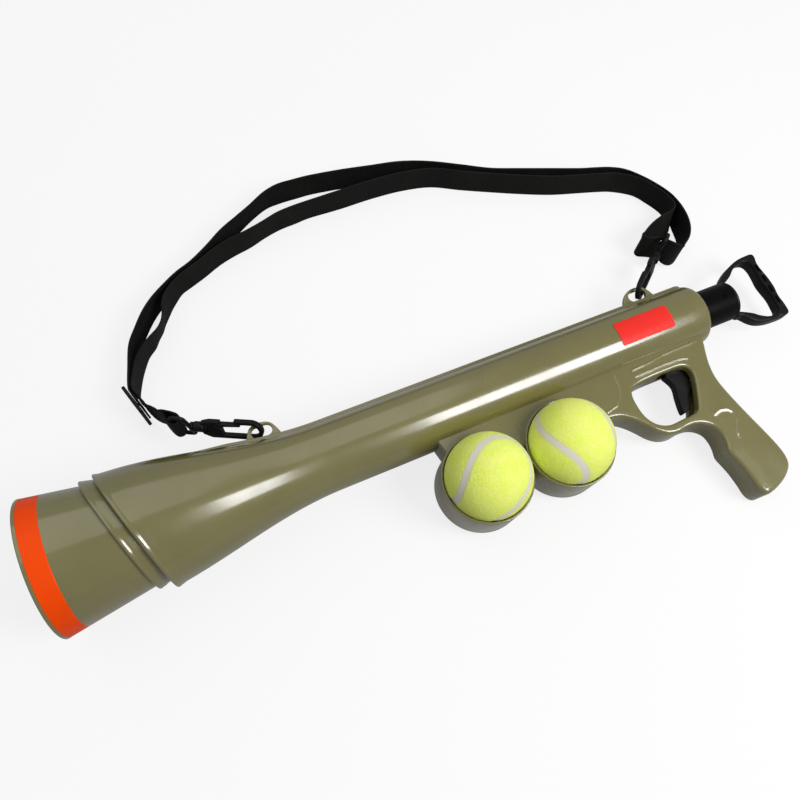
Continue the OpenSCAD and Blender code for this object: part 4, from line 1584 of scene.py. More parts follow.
@dataclass
class Muzzle:
    """Muzzle cone with its slanted collar, and the bright ring near its rim."""

    around: int = 144
    smooth: float = 35.0
    rim: float = 0.9
    rim_inset: float = 1.2
    collar: SlantedLip = SlantedLip(SIZES.collar_x, 0.9, SIZES.collar_h)
    seat_l: float = 6.0
    seat_gap: float = 0.1
    band_x: float = 2.5
    band_w: float = 13.0
    band_t: float = 0.9
    band_gap: float = 0.02
    band_edge: float = 0.12
    band_inset: float = 1.0

    def cone(self) -> Shape:
        """Cone with the groove of the ring, the collar and its seat.

        Returns:
            The shape.
        """
        turn = all_round(self.around)
        size = SIZES.muzzle_at
        rows = []
        for a in np.radians(np.linspace(-60, 90, 8)):
            r = float(size(0)) - self.rim + self.rim * math.sin(a)
            rows.append(lathe_row(self.rim * (1 - math.cos(a)), r, turn))
        end = self.band_x + self.band_w
        for x, drop in ((self.band_x, 0), (self.band_x, self.band_t), (end, self.band_t), (end, 0)):
            rows.append(lathe_row(x, float(size(x)) - drop, turn))
        edge = SIZES.slant_x(SIZES.collar_x, size(SIZES.collar_x) * np.cos(turn))
        for share in shares(6):
            x = end + (edge - end) * share
            rows.append(lathe_row(x, size(x), turn))
        rows += self.collar.rows(lambda x: size(x) + SIZES.collar_h, turn)[1:]
        start = rows[-1][:, 0]
        seat = SIZES.muzzle_l - self.seat_l
        for share in shares(5):
            x = start + (seat - start) * share
            rows.append(lathe_row(x, size(x) + SIZES.collar_h, turn))
        for x in (seat, SIZES.muzzle_l):
            rows.append(lathe_row(x, float(SIZES.inner_at(x)) - self.seat_gap, turn))
        for x in np.linspace(SIZES.muzzle_l, self.rim_inset, 9):
            rows.append(lathe_row(x, float(size(x)) - SIZES.muzzle_wall, turn))
        return skin(np.array(rows), along=True)

    def ring(self) -> Shape:
        """Bright ring that fills the groove.

        Returns:
            The shape.
        """
        front, back = self.band_x + self.band_gap, self.band_x + self.band_w - self.band_gap
        edge, inside = self.band_edge, self.band_t - self.band_gap
        first, last = float(SIZES.muzzle_at(front)), float(SIZES.muzzle_at(back))
        middle = np.linspace(front + self.band_inset, back - self.band_inset, 5)
        profile = [(front, first - inside), (front, first - edge), (front + edge, first),
                   *[(x, float(SIZES.muzzle_at(x))) for x in middle],
                   (back - edge, last), (back, last - edge), (back, last - inside)]
        return turned(profile, hollow=True, around=self.around)

    def build(self) -> None:
        """Builds the cone and the ring."""
        lying = SIZES.lying()
        finished(self.cone().object("muzzle_horn", lying), OLIVE, "base", ["muzzle_cone"], self.smooth)
        finished(self.ring().object("orange_ring", lying), ORANGE, "base", ["muzzle_band"], self.smooth)


@dataclass(frozen=True)
class Coil:
    """Wound spring along an axis; its held place, joint and squashed share are kept but not applied."""

    piece: str
    node: str
    joint: str
    axis: Axis
    start: Place
    held: Place
    length: float
    radius: float
    wire: float
    turns: int
    share: float
    steps: int = 40
    around: int = 10
    smooth: float = 60.0

    def wound(self) -> Shape:
        """Wire wound around the side axis, from zero to the spring's length.

        Returns:
            The shape.
        """
        t = np.linspace(0, 1, self.steps * self.turns + 1)
        turn = 2 * math.pi * self.turns * t
        rise = self.wire / 2 + (self.length - self.wire) * t
        path = np.column_stack([self.radius * np.cos(turn), self.radius * np.sin(turn), rise])
        return swept(path, self.wire / 2, False, self.around)

    def build(self, place: np.ndarray) -> None:
        """Builds the spring.

        Args:
            place: Matrix from the spring's millimetres to the scene's metres.
        """
        lay = spin("Y", 90) if self.axis is Axis.BARREL else spin("X", -90)
        coil = self.wound().moved(shift(*self.start) @ lay).object(self.piece, place)
        finished(coil, STEEL, "base", [self.node], self.smooth)
        way, held = place[:3, self.axis.value], carried(place, self.held)
        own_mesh(coil)


@dataclass
class SpringDrive:
    """Cocking tube with its striker, its spring and its handle."""

    smooth: float = 35.0
    arm_half: float = 5.0
    bar_half: float = 6.0
    bar_x: float = 35.5
    bar_lead: float = 3.0
    bar_ease: float = 5.0
    handle_edge: float = 1.3
    handle_outer: ClassVar[Points] = (
        (0.6, 14), (4, 16.5), (8, 19.8), (15, 24), (23, 27.2), (30, 29), (37, 29.6), (43.5, 29.3), (45, 25.5),
        (43.5, 19.5), (44, 12.5), (45.2, 4), (45.4, -5), (44.2, -13), (44.8, -20), (44.6, -28), (42, -30.3),
        (32, -30.6), (22, -29.6), (14.5, -27.2), (9.5, -23.5), (4.5, -17.5), (0.6, -14))
    handle_inner: ClassVar[Points] = (
        (1.8, 6), (3.5, 12), (9, 14.8), (14.5, 17.6), (19.5, 21.5), (25.5, 24.8), (31.5, 25.2), (36.3, 22.8),
        (37.8, 17.2), (37.4, 10.5), (36.6, 3.4), (37.2, -3.4), (38.2, -11), (37.6, -18.5), (36.5, -24),
        (32, -26.6), (25.5, -26), (19, -22.5), (14, -18.5), (8.5, -15.5), (3.5, -12.5), (1.8, -6))
    slit_span: tuple[float, float] = (40.4, 41.8)
    slit_half: float = 3.2
    slit_round: float = 0.6
    slit_places: ClassVar[tuple[float, ...]] = (-15.5, -5.2, 5.2, 15.5)
    hub: ClassVar[Points] = ((0.0, 15.2), (0.25, 15.8), (0.6, 16.0), (1.9, 16.0), (2.3, 15.7), (2.4, 15.2))
    spigot: ClassVar[Points] = ((-20.0, 12.4), (-19.2, 13.1), (1.0, 13.1))
    pin_hole_r: float = 2.02
    pin_reach: float = 20.0
    pin_set: float = 10.0
    tube_front: float = 172.0
    tube_wall: float = 2.8
    tube_edge: float = 0.4
    tube_rows: ClassVar[tuple[float, ...]] = (430.0, 500.0)
    groove_x: float = 310.0
    groove_w: float = 10.0
    groove_depth: float = 1.5
    spring_span: tuple[float, float] = (225.3, 407.7)
    spring_stop: float = 408.0
    spring_wire: float = 2.4
    spring_turns: int = 16
    solids: ClassVar[dict[str, Finish]] = {
        "striker_head": BLACK, "striker_pad": RUBBER, "spring_collar": BLACK, "spring_stop": BLACK,
        "rear_bush": BLACK, "handle_pin": DARK_STEEL, "ball_seat": RUBBER}

    def bar_swell(self, points: np.ndarray) -> np.ndarray:
        """How much wider the handle's bar is than its arms."""
        share = (points[:, 0] - self.bar_x + self.bar_lead) / self.bar_ease
        return (self.bar_half - self.arm_half) * eased(share)

    def pin_hole(self) -> Shape:
        """Hole for the cross pin."""
        profile = [(z, self.pin_hole_r) for z in (-self.pin_reach, self.pin_reach)]
        return turned(profile, Axis.SIDE, around=32).moved(shift(SIZES.handle_x - self.pin_set))

    def handle(self) -> bpy.types.Object:
        """D-shaped handle with a waved bar, its hub and its spigot.

        Returns:
            The handle at its place.
        """
        outer, inner = (curve_through(points, 5, True) for points in (self.handle_outer, self.handle_inner))
        front, back = self.slit_span
        slits = [round_box(front, y - self.slit_half, back, y + self.slit_half, self.slit_round)
                 for y in self.slit_places]
        plate = Relief(outer, [inner, *slits], self.arm_half, self.handle_edge, step=1.2,
                       crown=self.bar_swell, fill=2.5).build()
        handle = plate.moved(shift(SIZES.handle_x)).object("pull_handle")
        tools = [turned([(SIZES.handle_x + x, r) for x, r in profile]) for profile in (self.hub, self.spigot)]
        worked(handle, tools, Join.ADD)
        worked(handle, [self.pin_hole()], Join.CUT)
        return laid(handle, SIZES.lying())

    def tube(self) -> bpy.types.Object:
        """Cocking tube with its catch groove and eased ends.

        Returns:
            The tube at its place.
        """
        front, end, edge = self.tube_front, SIZES.handle_x, self.tube_edge
        r, inside, low = SIZES.tube_r, SIZES.tube_r - self.tube_wall, SIZES.tube_r - self.groove_depth
        groove, behind = self.groove_x, self.groove_x + self.groove_w
        profile = [(front, r - edge), (front + edge, r), (groove, r), (groove, low), (behind, low),
                   (behind, r), *[(x, r) for x in self.tube_rows], (end - edge, r), (end, r - edge),
                   (end, inside), (front, inside)]
        tube = turned(profile, hollow=True, around=112).object("cocking_sleeve")
        worked(tube, [self.pin_hole()], Join.CUT)
        return laid(tube, SIZES.lying())

    def main_spring(self) -> Coil:
        """Main spring between its collar and its stop.

        Returns:
            The spring, not yet built.
        """
        start, end = self.spring_span
        length = end - start
        return Coil("main_coil", "main_spring", "cocking_slide", Axis.BARREL, (start, 0, 0),
                    (self.spring_stop, 0, 0), length, radius=(SIZES.bore_r + SIZES.tube_r) / 2,
                    wire=self.spring_wire, turns=self.spring_turns, share=1 - SIZES.travel / length)

    def build(self) -> None:
        """Builds the tube, the handle and the main spring, and paints the solids that stay."""
        finished(self.handle(), BLACK, "plunger", ["cocking_handle"], self.smooth)
        finished(self.tube(), TUBE_BLACK, "plunger", ["cocking_tube"], self.smooth)
        self.main_spring().build(SIZES.lying())
        painted(self.solids)


@dataclass
class TriggerGroup:
    """Trigger and sear with their springs and pins."""

    smooth: float = 35.0
    lever_half: float = 4.0
    lever_edge: float = 1.1
    pin: tuple[float, float] = (0.0, -7.5)
    pin_r: float = 2.05
    finger_points: ClassVar[Points] = (
        (-10, -14.5), (-6.5, -23.5), (-9, -33.5), (-11, -42.5), (-10.5, -46.5), (-4, -45))
    back_points: ClassVar[Points] = (
        (1, -34.5), (7.5, -30), (7.5, -22), (5, -7), (0, -0.2), (-12.5, -0.2), (-12.5, -2.7), (-6.8, -2.7),
        (-5, -8))
    springs: ClassVar[tuple[Coil, ...]] = (
        Coil("trigger_coil", "trigger_spring", "trigger_pull", Axis.BARREL, (7.8, -26, 0), (20.6, -26, 0),
             length=12.8, radius=2.8, wire=0.7, turns=6, share=0.7),
        Coil("sear_coil", "sear_spring", "sear_turn", Axis.UP, (-60, -26.3, 0), (-60, -26.3, 0),
             length=19.2, radius=3.2, wire=0.8, turns=6, share=0.95))
    solids: ClassVar[dict[str, Finish]] = {"sear": BLACK, "trigger_pin": STEEL, "sear_pin": STEEL}

    def trigger(self) -> Shape:
        """Curved trigger with a round finger face.

        Returns:
            The shape.
        """
        outline = np.vstack([curve_through(self.finger_points, 6, False), self.back_points])
        hole = arc(self.pin, self.pin_r, 0, 360, 24)[:-1]
        return Relief(outline, [hole], self.lever_half, self.lever_edge, step=0.8).build()

    def build(self) -> None:
        """Builds the trigger and the two return springs, and paints the solids that stay."""
        place = SIZES.lying() @ SIZES.grip()
        trigger = self.trigger().object("trigger_blade", place)
        finished(trigger, BLACK, "trigger_lever", ["trigger"], self.smooth)
        for spring in self.springs:
            spring.build(place)
        painted(self.solids)


@dataclass
class BallPair:
    """The two felt balls in their cups."""

    smooth: float = 180.0
    seam_half: float = 2.5
    seam_ease: float = 0.5
    seam_steps: int = 900
    seam_wide: float = 0.75
    seam_narrow: float = 0.25
    groove: float = 0.35
    nap: float = 0.22
    nap_share: float = 0.6
    tufts: float = 38.0
    fibres: float = 83.0
    fibre_share: float = 0.6
    grid: int = 84
    batches: int = 12
    turns: tuple[Place, Place] = ((105, 124, 144), (-58, -136, -6))

    def seam_line(self) -> np.ndarray:
        """Closed line of a ball's seam on a unit ball.

        Returns:
            Points of the line.
        """
        t = np.linspace(0, 2 * math.pi, self.seam_steps, endpoint=False)
        wide, narrow = self.seam_wide, self.seam_narrow
        return np.column_stack([wide * np.cos(t) + narrow * np.cos(3 * t),
                                wide * np.sin(t) - narrow * np.sin(3 * t),
                                2 * math.sqrt(wide * narrow) * np.sin(2 * t)])

    def globe(self) -> Shape:
        """Unit ball with an even mesh.

        Returns:
            The shape.
        """
        ticks = np.tan(np.linspace(-math.pi / 4, math.pi / 4, self.grid + 1))
        u, v = (part.ravel() for part in np.meshgrid(ticks, ticks, indexing="ij"))
        one = np.ones_like(u)
        whole = Shape()
        for side in ((one, u, v), (-one, v, u), (v, one, u), (u, -one, v), (u, v, one), (v, u, -one)):
            rows = np.column_stack(side).reshape(self.grid + 1, self.grid + 1, 3)
            whole.join(skin(rows, around=False, caps=False))
        keys, order = np.unique(np.round(unit(whole.points), 6), axis=0, return_inverse=True)
        order = order.ravel()
        return Shape(unit(keys), [tuple(int(order[k]) for k in face) for face in whole.faces])

    def fuzz(self, place: np.ndarray) -> float:
        """Height of the nap at a place, as a share."""
        way = Vector(place)
        return noise.noise(way * self.tufts) + self.fibre_share * noise.noise(way * self.fibres)

    def ball(self) -> Shape:
        """Felt ball with its seam groove, around its own middle.

        Returns:
            The shape, with its felt marked.
        """
        globe = self.globe()
        way, seam = globe.points, self.seam_line().T
        near = np.concatenate([(part @ seam).max(1) for part in np.array_split(way, self.batches)])
        gap = np.arccos(np.clip(near, -1, 1)) * SIZES.ball_r
        felt = eased((gap - self.seam_half) / self.seam_ease)
        fuzz = np.clip([self.fuzz(place) for place in way], -1, 1) * felt
        size = SIZES.ball_r - self.nap - self.groove * (1 - felt) + self.nap * self.nap_share * fuzz
        return Shape(way * size[:, None], globe.faces, {"felt": felt})

    def build(self) -> None:
        """Builds both balls."""
        ball = self.ball()
        for node, x, (first, second, third) in zip(("front_ball", "rear_ball"), SIZES.cup_places, self.turns):
            spun = spin("Z", third) @ spin("Y", second) @ spin("X", first)
            place = SIZES.lying() @ shift(x, SIZES.cup_y, SIZES.ball_z) @ spun
            finished(ball.object(f"{node}_felt", place), FELT, node, [node], self.smooth)


@dataclass
class Hook:
    """Snap hook on a lug, with its gate tongue and its swivel loop."""

    name: str
    lug_x: float
    pull: Place
    turn: float
    side: float = 3.2
    smooth: float = 38.0
    loop_smooth: float = 40.0

    crook_r: float = 5.6
    rod: float = 3.2
    length: float = 40.0
    half: float = 2.0
    edge: float = 0.7
    nose: float = 12.0
    heel: tuple[float, float] = (2, -5.5)
    shoulder: float = 9.0
    eye: float = 18.0
    throat: ClassVar[Points] = (
        (17.4, 0.2), (15, 1.9), (13.2, 2.4), (12.3, 4.2), (13.2, 5.9), (14.6, 6.45), (17.2, 6.3), (17, 7.4),
        (8, 7.4), (2, 5.5))
    tongue_root: tuple[float, float] = (14.5, 4.2)
    tongue_root_r: float = 1.9
    tongue_t: float = 1.8
    tongue_end: float = 8.0
    tongue_gap: float = 0.3
    tongue_edge: float = 0.6
    tongue_neck: tuple[float, float] = (15.5, 5.4)
    hub: ClassVar[Points] = ((-4.0, 1.55), (-4.0, 3.4), (-3.4, 4.0), (3.4, 4.0), (4.0, 3.4), (4.0, 1.55))
    swivel_hole: ClassVar[Points] = ((-5, 1.56), (9, 1.56))
    head_room: ClassVar[tuple[float, ...]] = (4.0, -3.1, 6.6, 3.1, 0.3)
    head_reach: float = 5.0
    swivel_pin: ClassVar[Points] = (
        (-7.3, 2.4), (-7.0, 3.1), (-6.6, 3.4), (-4.9, 3.4), (-4.4, 3.1), (-4.3, 1.5), (4.3, 1.5), (4.3, 2.8),
        (5.9, 2.8), (6.3, 2.3))
    loop_rod: float = 3.4
    loop_l: float = 13.0
    loop_end: float = 19.3
    loop_inside: float = 27.0
    loop_round: float = 3.0

    def way(self) -> np.ndarray:
        """Direction of the pull."""
        return unit(np.array(self.pull))

    def start(self) -> np.ndarray:
        """Place of the swivel on the launcher's axes."""
        lug = np.array([self.lug_x, SIZES.lug_y(self.lug_x), self.side])
        return lug + self.way() * (self.length + self.crook_r + self.rod / 2)

    def matrix(self) -> np.ndarray:
        """Matrix from the hook's axes to the launcher's.

        Returns:
            The matrix.
        """
        along = -self.way()
        across = unit(np.array([0, 0, 1.0]) - along * along[2])
        matrix = np.eye(4)
        matrix[:3, :3] = np.column_stack([along, across, np.cross(along, across)])
        matrix[:3, 3] = self.start()
        return matrix @ spin("X", self.turn)

    def bar(self) -> np.ndarray:
        """Place of the loop's outer bar over the floor."""
        place = self.start() + self.way() * (self.loop_end - self.loop_rod / 2)
        return carried(SIZES.lying(), place) / MILLIMETRE + np.array([*SIZES.centre, 0])

    def body(self) -> bpy.types.Object:
        """Hook with its open crook and its round hub, on its own axes.

        Returns:
            The hook.
        """
        crook, out = self.crook_r, self.crook_r + self.rod
        middle, nose = (self.length, 0), self.length - self.nose
        outside = [self.heel, (self.shoulder, -out), *arc(middle, out, -90, 90, 16), (nose, out)]
        inside = [(nose, crook), *arc(middle, crook, 90, -90, 14), (self.eye, -crook)]
        outline = np.vstack([outside, inside, self.throat])
        plate = Relief(outline, [], self.half, self.edge, step=0.9, turns=3).build()
        body = plate.object(f"{self.name}_snap_hook")
        room = prism(round_box(*self.head_room), -self.head_reach, self.head_reach)
        worked(body, [turned(self.swivel_hole, around=24), room], Join.CUT)
        worked(body, [turned(self.hub, hollow=True, around=40)], Join.ADD)
        return body

    def tongue(self) -> Shape:
        """Spring tongue that closes the crook.

        Returns:
            The shape.
        """
        end, top = self.length - self.tongue_end, self.crook_r - self.tongue_gap
        outline = np.vstack([arc(self.tongue_root, self.tongue_root_r, 60, 300, 12),
                             [(end, top - self.tongue_t), (end, top), self.tongue_neck]])
        return Relief(outline, [], self.half, self.tongue_edge, step=0.7, turns=3).build()

    def swivel(self) -> Shape:
        """Swivel pin with its head, its yoke and its loop.

        Returns:
            The shape.
        """
        r = self.loop_rod / 2
        side = self.loop_inside / 2 + r
        path = round_box(r - self.loop_end, -side, self.loop_l - self.loop_end - r, side, self.loop_round)
        loop = even_line(np.column_stack([path[:, 0], np.zeros(len(path)), path[:, 1]]), 1.0, True)
        pin = turned(self.swivel_pin, around=40)
        return pin.join(swept(loop, r, True, 14).moved(spin("X", 90 - self.turn)))

    def build(self) -> None:
        """Builds the hook, its tongue and its swivel."""
        place = SIZES.lying() @ self.matrix()
        hook, gate = f"{self.name}_hook", f"{self.name}_tongue"
        finished(laid(self.body(), place), BLACK, hook, [hook], self.smooth)
        finished(self.tongue().object(f"{self.name}_gate", place), BLACK, gate, [gate], self.smooth)
        loop = self.swivel().object(f"{self.name}_loop", place)
        finished(loop, BLACK, "base", [f"{self.name}_swivel"], self.loop_smooth)


@dataclass
class Sling:
    """Snap hooks, slider and webbing."""

    hooks: ClassVar[tuple[Hook, Hook]] = (Hook("front", SIZES.lug_places[0], (-44.6, 25.8, -12.0), -25.0),
                                          Hook("rear", SIZES.lug_places[1], (42.5, 31.6, -10.0), 25.0))
    slider_smooth: float = 38.0
    slider_place: tuple[float, float] = (85.3, 105.5)
    slider_turn: float = 106.0
    slider_half: float = 1.3
    slider_box: ClassVar[tuple[float, ...]] = (-13.5, 0, 13.5, 31, 3.0)
    slider_edge: float = 0.8
    slot_places: tuple[float, float] = (-6.75, 6.75)
    slot_half: float = 3.25
    slot_span: tuple[float, float] = (3.4, 27.6)
    slot_round: float = 1.2
    slider_gap: float = 0.6
    layer_gap: float = 0.8
    bar_gap: float = 0.3

    webbing_smooth: float = 50.0
    webbing_w: float = 25.0
    webbing_t: float = 1.6
    webbing_clear: float = 0.2
    webbing_step: float = 1.8
    selvedge: float = 0.75
    thinning: float = 0.9
    across: ClassVar[tuple[float, ...]] = (0.86, 0.6, 0.3, 0, -0.3, -0.6, -0.86)
    outer_points: ClassVar[Points] = (
        (90, 135, 1, 0), (96.5, 153.5, 0, 3), (105, 166.5, 0, 2), (114.5, 178.5, 0, 2), (124, 187.5, 0, 1),
        (134, 194.5, 0, 0), (149, 203, 0, 0), (164, 209, 0, 0), (180, 218, 0, 0), (197, 229, 0, 0),
        (212.5, 237, 0, -3), (227, 244.5, 0, -6), (243, 252, 0, -3), (257, 254.3, 0, 3), (272, 253.7, 0, 3),
        (287, 252.5, 0, 2), (313, 248, 0, 2), (340, 242, 0, 2), (366, 236, 0, 2), (390, 226, 0, 2),
        (414, 212, 0, 2), (437, 198, 0, 2), (461, 187.5, 0, 2), (486, 177, 0, 2), (511, 166.5, 0, 2),
        (524, 162, 0, 2), (537, 157, 0, 2), (548.5, 150, 0, 1), (558, 139, 0, 0), (566, 126, 0, 0),
        (571.5, 112.5, 0, 2), (573, 100, 0, 5), (571.5, 88, 0, 10), (568.5, 77, 0, 8), (563.5, 68, 0, 3),
        (556, 62, 1, 0), (547.5, 58.5, 3, -4))
    return_points: ClassVar[Points] = (
        (92, 129, 1, 0), (97.5, 140, 0, 0), (105, 149.5, 0, -4), (112.5, 155.5, 0, -5), (118.5, 161, 0, -12),
        (123.5, 166.5, 0, -12), (127, 173, 0, -9), (130.5, 180, 0, -1), (135, 186.5, 0, 2),
        (140.5, 192, 0, 2), (147.5, 197.5, 0, 0), (155.5, 201, 0, 2), (170.5, 206.5, 0, 2), (186, 213, 0, 2),
        (201, 217, 0, 2), (216, 219.5, 0, 1), (231.5, 223.5, 0, -2), (246.5, 227, 0, 0), (261, 228, 0, 1),
        (275.5, 228.5, 0, -1), (304, 227.5, 0, 2), (333, 227, 0, 2), (362, 224.5, 0, 2), (389, 218, 0, 2),
        (413, 204.5, 0, 2), (437.5, 191.5, 0, 2), (462, 179, 0, 2), (487, 167.5, 0, 2), (513.5, 158.5, 0, 2),
        (527, 154, 0, 2), (540.5, 148.5, 0, 2), (556, 137, 0, 0), (563.5, 124.5, 0, 0), (569, 111.5, 0, 0),
        (570, 101, 0, 0), (566, 94, 0, -12), (556, 90, 0, -28), (545, 88, 1, -20), (534.5, 86, 2, -8),
        (527, 83, 3.5, 0), (523.3, 79, 5, 2), (525, 74.8, 6.3, 4), (529.8, 71.8, 7, 8))
    front_points: ClassVar[Points] = ((99.5, 87.5, 10.5, 0), (105, 79, 16.5, 0))
    front_fold: ClassVar[Points] = ((-4.3, 1.5), (-3.6, -2.6), (0, -4), (5, -1), (11, 4.6))

    def slider(self) -> Shape:
        """Three-bar slider that stands beside the webbing.

        Returns:
            The shape on the floor's axes.
        """
        low, high = self.slot_span
        slots = [round_box(x - self.slot_half, low, x + self.slot_half, high, self.slot_round)
                 for x in self.slot_places]
        outline = round_box(*self.slider_box)
        plate = Relief(outline, slots, self.slider_half, self.slider_edge, step=1.0, turns=3).build()
        place = shift(*self.slider_place, self.webbing_clear)
        return plate.moved(place @ spin("Z", self.slider_turn) @ spin("X", 90))

    def at_slider(self, along: float, side: float, rise: float) -> tuple[float, ...]:
        """Route point beside the slider.

        Args:
            along: Distance along the slider's length.
            side: Distance to its side.
            rise: Height over the floor.

        Returns:
            Place on the floor, rise and lean.
        """
        way = np.radians(self.slider_turn)
        ahead, across = np.array([np.cos(way), np.sin(way)]), np.array([-np.sin(way), np.cos(way)])
        return (*(np.array(self.slider_place) + ahead * along + across * side), rise, 0.0)

    def at_bar(self, hook: Hook, along: float, off: float, lean: float) -> tuple[float, ...]:
        """Route point at a loop's bar.

        Args:
            hook: Hook whose loop it is.
            along: Distance along the pull.
            off: Distance to the side.
            lean: Lean of the webbing in degrees.

        Returns:
            Place on the floor, rise and lean.
        """
        bar = hook.bar()
        way = unit(np.array(hook.pull[:2]))
        side = np.array([way[1], -way[0]])
        rise = bar[2] - self.webbing_w / 2 - self.webbing_clear
        return (*(bar[:2] + way * along + side * off), rise, lean)

    def routes(self) -> dict[str, list[tuple[float, ...]]]:
        """Routes of the three runs of webbing over the floor.

        Returns:
            Route points by the names of the runs.
        """
        front, rear = self.hooks
        near = -(self.slider_half + self.webbing_t / 2 + self.slider_gap)
        far = near - (self.webbing_t + self.layer_gap)
        bar = rear.loop_rod / 2 + self.webbing_t / 2 + self.bar_gap
        outer = [self.at_slider(-9, near, 3), self.at_slider(3, near, 3), self.at_slider(11, near - 0.6, 2.5),
                 *self.outer_points, self.at_bar(rear, -bar, 9, -10), self.at_bar(rear, -bar, 1, -10)]
        back = [self.at_slider(2, far, 3), self.at_slider(10, far - 0.4, 2.5), *self.return_points,
                self.at_bar(rear, -bar, -1, 10)]
        short = [self.at_slider(-2, far, 3), self.at_slider(-12, far - 1, 4.5), *self.front_points,
                 self.at_bar(front, 5, bar + 2.8, 0), self.at_bar(front, -1, bar + 1.5, 0),
                 *[self.at_bar(front, along, off, 0) for along, off in self.front_fold]]
        return {"strap_outer": outer, "strap_return": back, "strap_front": short}

    def section(self) -> np.ndarray:
        """Outline of the webbing's cut end, with round edges and thinner faces.

        Returns:
            Points of the outline.
        """
        half, face = self.webbing_w / 2, self.webbing_t / 2 * self.thinning
        middle = half - self.selvedge
        return np.vstack([arc((middle, 0.0), self.selvedge, -90, 90, 4),
                          [(half * share, face) for share in self.across],
                          arc((-middle, 0.0), self.selvedge, 90, 270, 4),
                          [(-half * share, -face) for share in self.across]])

    def webbing(self, route: Sequence[Sequence[float]]) -> tuple[Shape, float]:
        """Webbing along a route, standing on its edge.

        Args:
            route: Places on the floor, with rise and lean.

        Returns:
            The webbing and its length.
        """
        line = even_line(curve_through(route, 8, False), self.webbing_step, False)
        half, thick = self.webbing_w / 2, self.webbing_t / 2
        section = self.section()
        wide, deep = section.T[:, :, None]
        rows, middles = [], []
        for i, (x, y, rise, lean) in enumerate(line):
            step = line[min(len(line) - 1, i + 1)] - line[max(0, i - 1)]
            along = unit(step[:3])
            side = np.array([-along[1], along[0], 0]) / np.hypot(along[0], along[1])
            tip = np.radians(lean)
            across = unit(np.cross(along, side) * np.cos(tip) + side * np.sin(tip))
            height = half * np.cos(tip) + thick * abs(np.sin(tip)) + self.webbing_clear
            middle = np.array([x, y, height + rise])
            middles.append(middle)
            rows.append(middle + wide * across + deep * np.cross(across, along))
        reach = reach_along(np.array(middles))
        strip = skin(np.array(rows))
        strip.marks["run"] = np.repeat(reach, len(section)) * MILLIMETRE
        strip.marks["cross"] = np.tile(section[:, 0], len(rows)) * MILLIMETRE
        return strip, float(reach[-1])

    def build(self) -> None:
        """Builds the hooks, the slider and the webbing."""
        floor = SIZES.floor()
        for hook in self.hooks:
            hook.build()
        slider = self.slider().object("strap_glide", floor)
        finished(slider, BLACK, "base", ["strap_slider"], self.slider_smooth)
        for node, route in self.routes().items():
            strip, length = self.webbing(route)
            piece = strip.object(f"{node}_webbing", floor)
            finished(piece, WEBBING, "base", [node], self.webbing_smooth)


@dataclass(frozen=True)
class FloorPaint(Finish):
    """Matt white floor that shows as nearly white and keeps a soft shadow."""

    glow: float = 0.8
    dim: Colour = (0.28, 0.28, 0.28)
    bright: Colour = (0.9, 0.9, 0.9)
    rough: float = 0.9

    def paint(self, graph: Graph) -> None:
        """Feeds the surface shader and mixes in a glow for the camera, and in part for mirrored rays.

        Args:
            graph: Graph of the material.
        """
        rays = graph.background(MIRRORED)
        grain = graph.cloud(400, 2).ramp(0.3, 0.7, 0.0, 0.05)
        graph.dress(Base_Color=graph.blend(rays - grain, self.dim, self.bright), Roughness=self.rough)
        glow = graph.node("ShaderNodeEmission", None, {"Color": WHITE, "Strength": 1.0})
        graph.mix_in(rays * self.glow, glow)


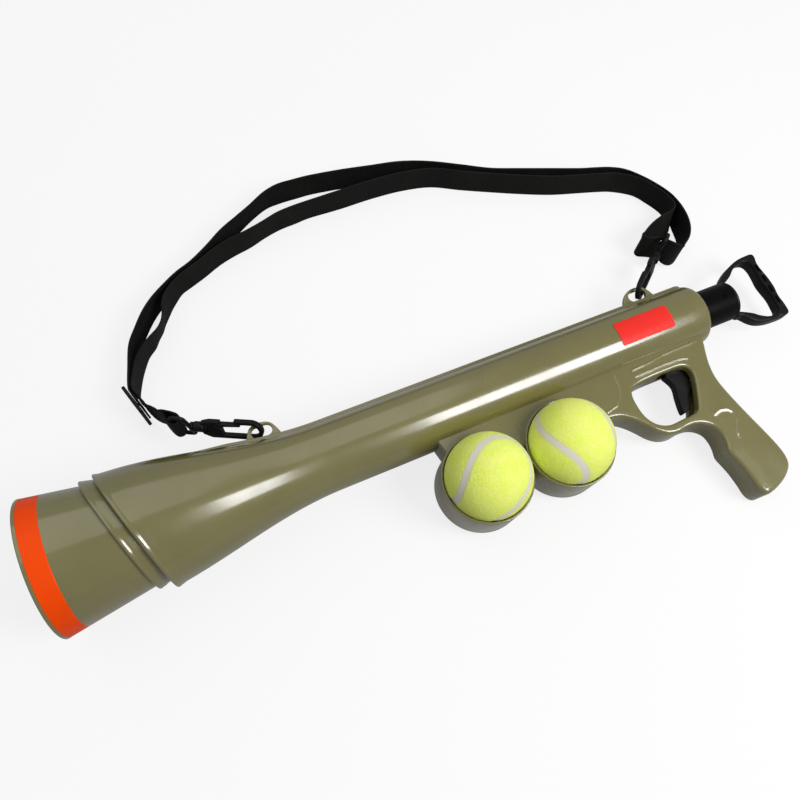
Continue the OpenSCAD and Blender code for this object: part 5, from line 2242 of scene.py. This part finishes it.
@dataclass
class Studio:
    """Floor, soft lights and camera."""

    floor_size: float = 8.0
    camera_place: Place = (135.6, -139.9, 534.6)
    camera_ahead: Place = (0.2324, 0.2800, -0.9314)
    camera_right: Place = (0.9086, -0.4042, 0.1052)
    focal: float = 765.04
    picture: float = 800.0
    sensor: float = 36.0
    clip_start: float = 0.01
    aim: Place = (0.1, -0.05, 0.03)
    key_radiance: float = 11.0
    key_size: tuple[float, float] = (0.58, 0.6)
    key_place: Place = (0.63, -0.66, 1.0)
    fill_radiance: float = 0.7
    fill_size: tuple[float, float] = (3.0, 3.0)
    fill_place: Place = (-0.4, 1.2, 2.2)
    ambient: float = 0.28

    def floor(self) -> None:
        """Makes the floor."""
        half = self.floor_size / 2
        corners = [(-half, -half, 0), (half, -half, 0), (half, half, 0), (-half, half, 0)]
        made = Shape().add(np.array(corners), [(0, 1, 2, 3)]).object("studio_floor")
        made.data.materials.append(FloorPaint("floor_paint", "none").material())

    def lamp(self, name: str, place: Sequence[float], size: Sequence[float], radiance: float) -> None:
        """Hangs a soft box that looks at the launcher.

        Args:
            name: Name of the lamp.
            place: Its place in metres.
            size: Its width and height in metres.
            radiance: How bright its face is.
        """
        light = bpy.data.lights.new(name, "AREA")
        light.shape = "RECTANGLE"
        light.size, light.size_y = size
        light.energy = math.pi * radiance * size[0] * size[1]
        lamp = bpy.data.objects.new(name, light)
        back = (Vector(place) - Vector(self.aim)).normalized()
        along = Vector((1.0, 0.0, 0.0))
        along = (along - back * along.dot(back)).normalized()
        turn = Matrix((along, back.cross(along), back)).transposed()
        lamp.matrix_world = Matrix.Translation(place) @ turn.to_4x4()
        bpy.context.scene.collection.objects.link(lamp)

    def world(self) -> None:
        """Lights the room evenly, and shows it white to the camera and in part to mirrored rays."""
        world = bpy.data.worlds.new("studio_room")
        bpy.context.scene.world = world
        graph = Graph(world)
        graph.dress(Color=WHITE, Strength=self.ambient)
        white = graph.node("ShaderNodeBackground", None, {"Color": WHITE, "Strength": 1.0})
        graph.mix_in(graph.background(MIRRORED), white)

    def camera(self) -> None:
        """Sets the camera at the picture's angle."""
        data = bpy.data.cameras.new("picture_camera")
        data.sensor_width = self.sensor
        data.lens = self.focal / self.picture * self.sensor
        data.dof.use_dof = False
        data.clip_start = self.clip_start
        camera = bpy.data.objects.new("picture_camera", data)
        lying = SIZES.lying()
        turn = lying[:3, :3] / MILLIMETRE
        ahead = unit(turn @ np.array(self.camera_ahead))
        right = turn @ np.array(self.camera_right)
        right = unit(right - ahead * (right @ ahead))
        matrix = np.eye(4)
        matrix[:3, :3] = np.column_stack([right, np.cross(-ahead, right), -ahead])
        matrix[:3, 3] = carried(lying, self.camera_place)
        camera.matrix_world = Matrix(matrix.tolist())
        bpy.context.scene.collection.objects.link(camera)
        bpy.context.scene.camera = camera

    def build(self) -> None:
        """Sets up the studio."""
        bpy.context.scene.view_settings.view_transform = "Standard"
        self.camera()
        self.floor()
        self.lamp("key_box", self.key_place, self.key_size, self.key_radiance)
        self.lamp("fill_box", self.fill_place, self.fill_size, self.fill_radiance)
        self.world()


def main() -> None:
    """Builds the studio and every sub-assembly."""
    logging.basicConfig(level=logging.INFO, format="%(name)s: %(message)s")
    groups = (Studio(), Sling(), Shells(), CaseScrews(), Label(), Muzzle(), SpringDrive(), TriggerGroup(),
              BallPair())
    for group in groups:
        LOG.info("building %s", type(group).__name__)
        group.build()
    bpy.context.view_layer.update()


if __name__ == "__main__":
    main()
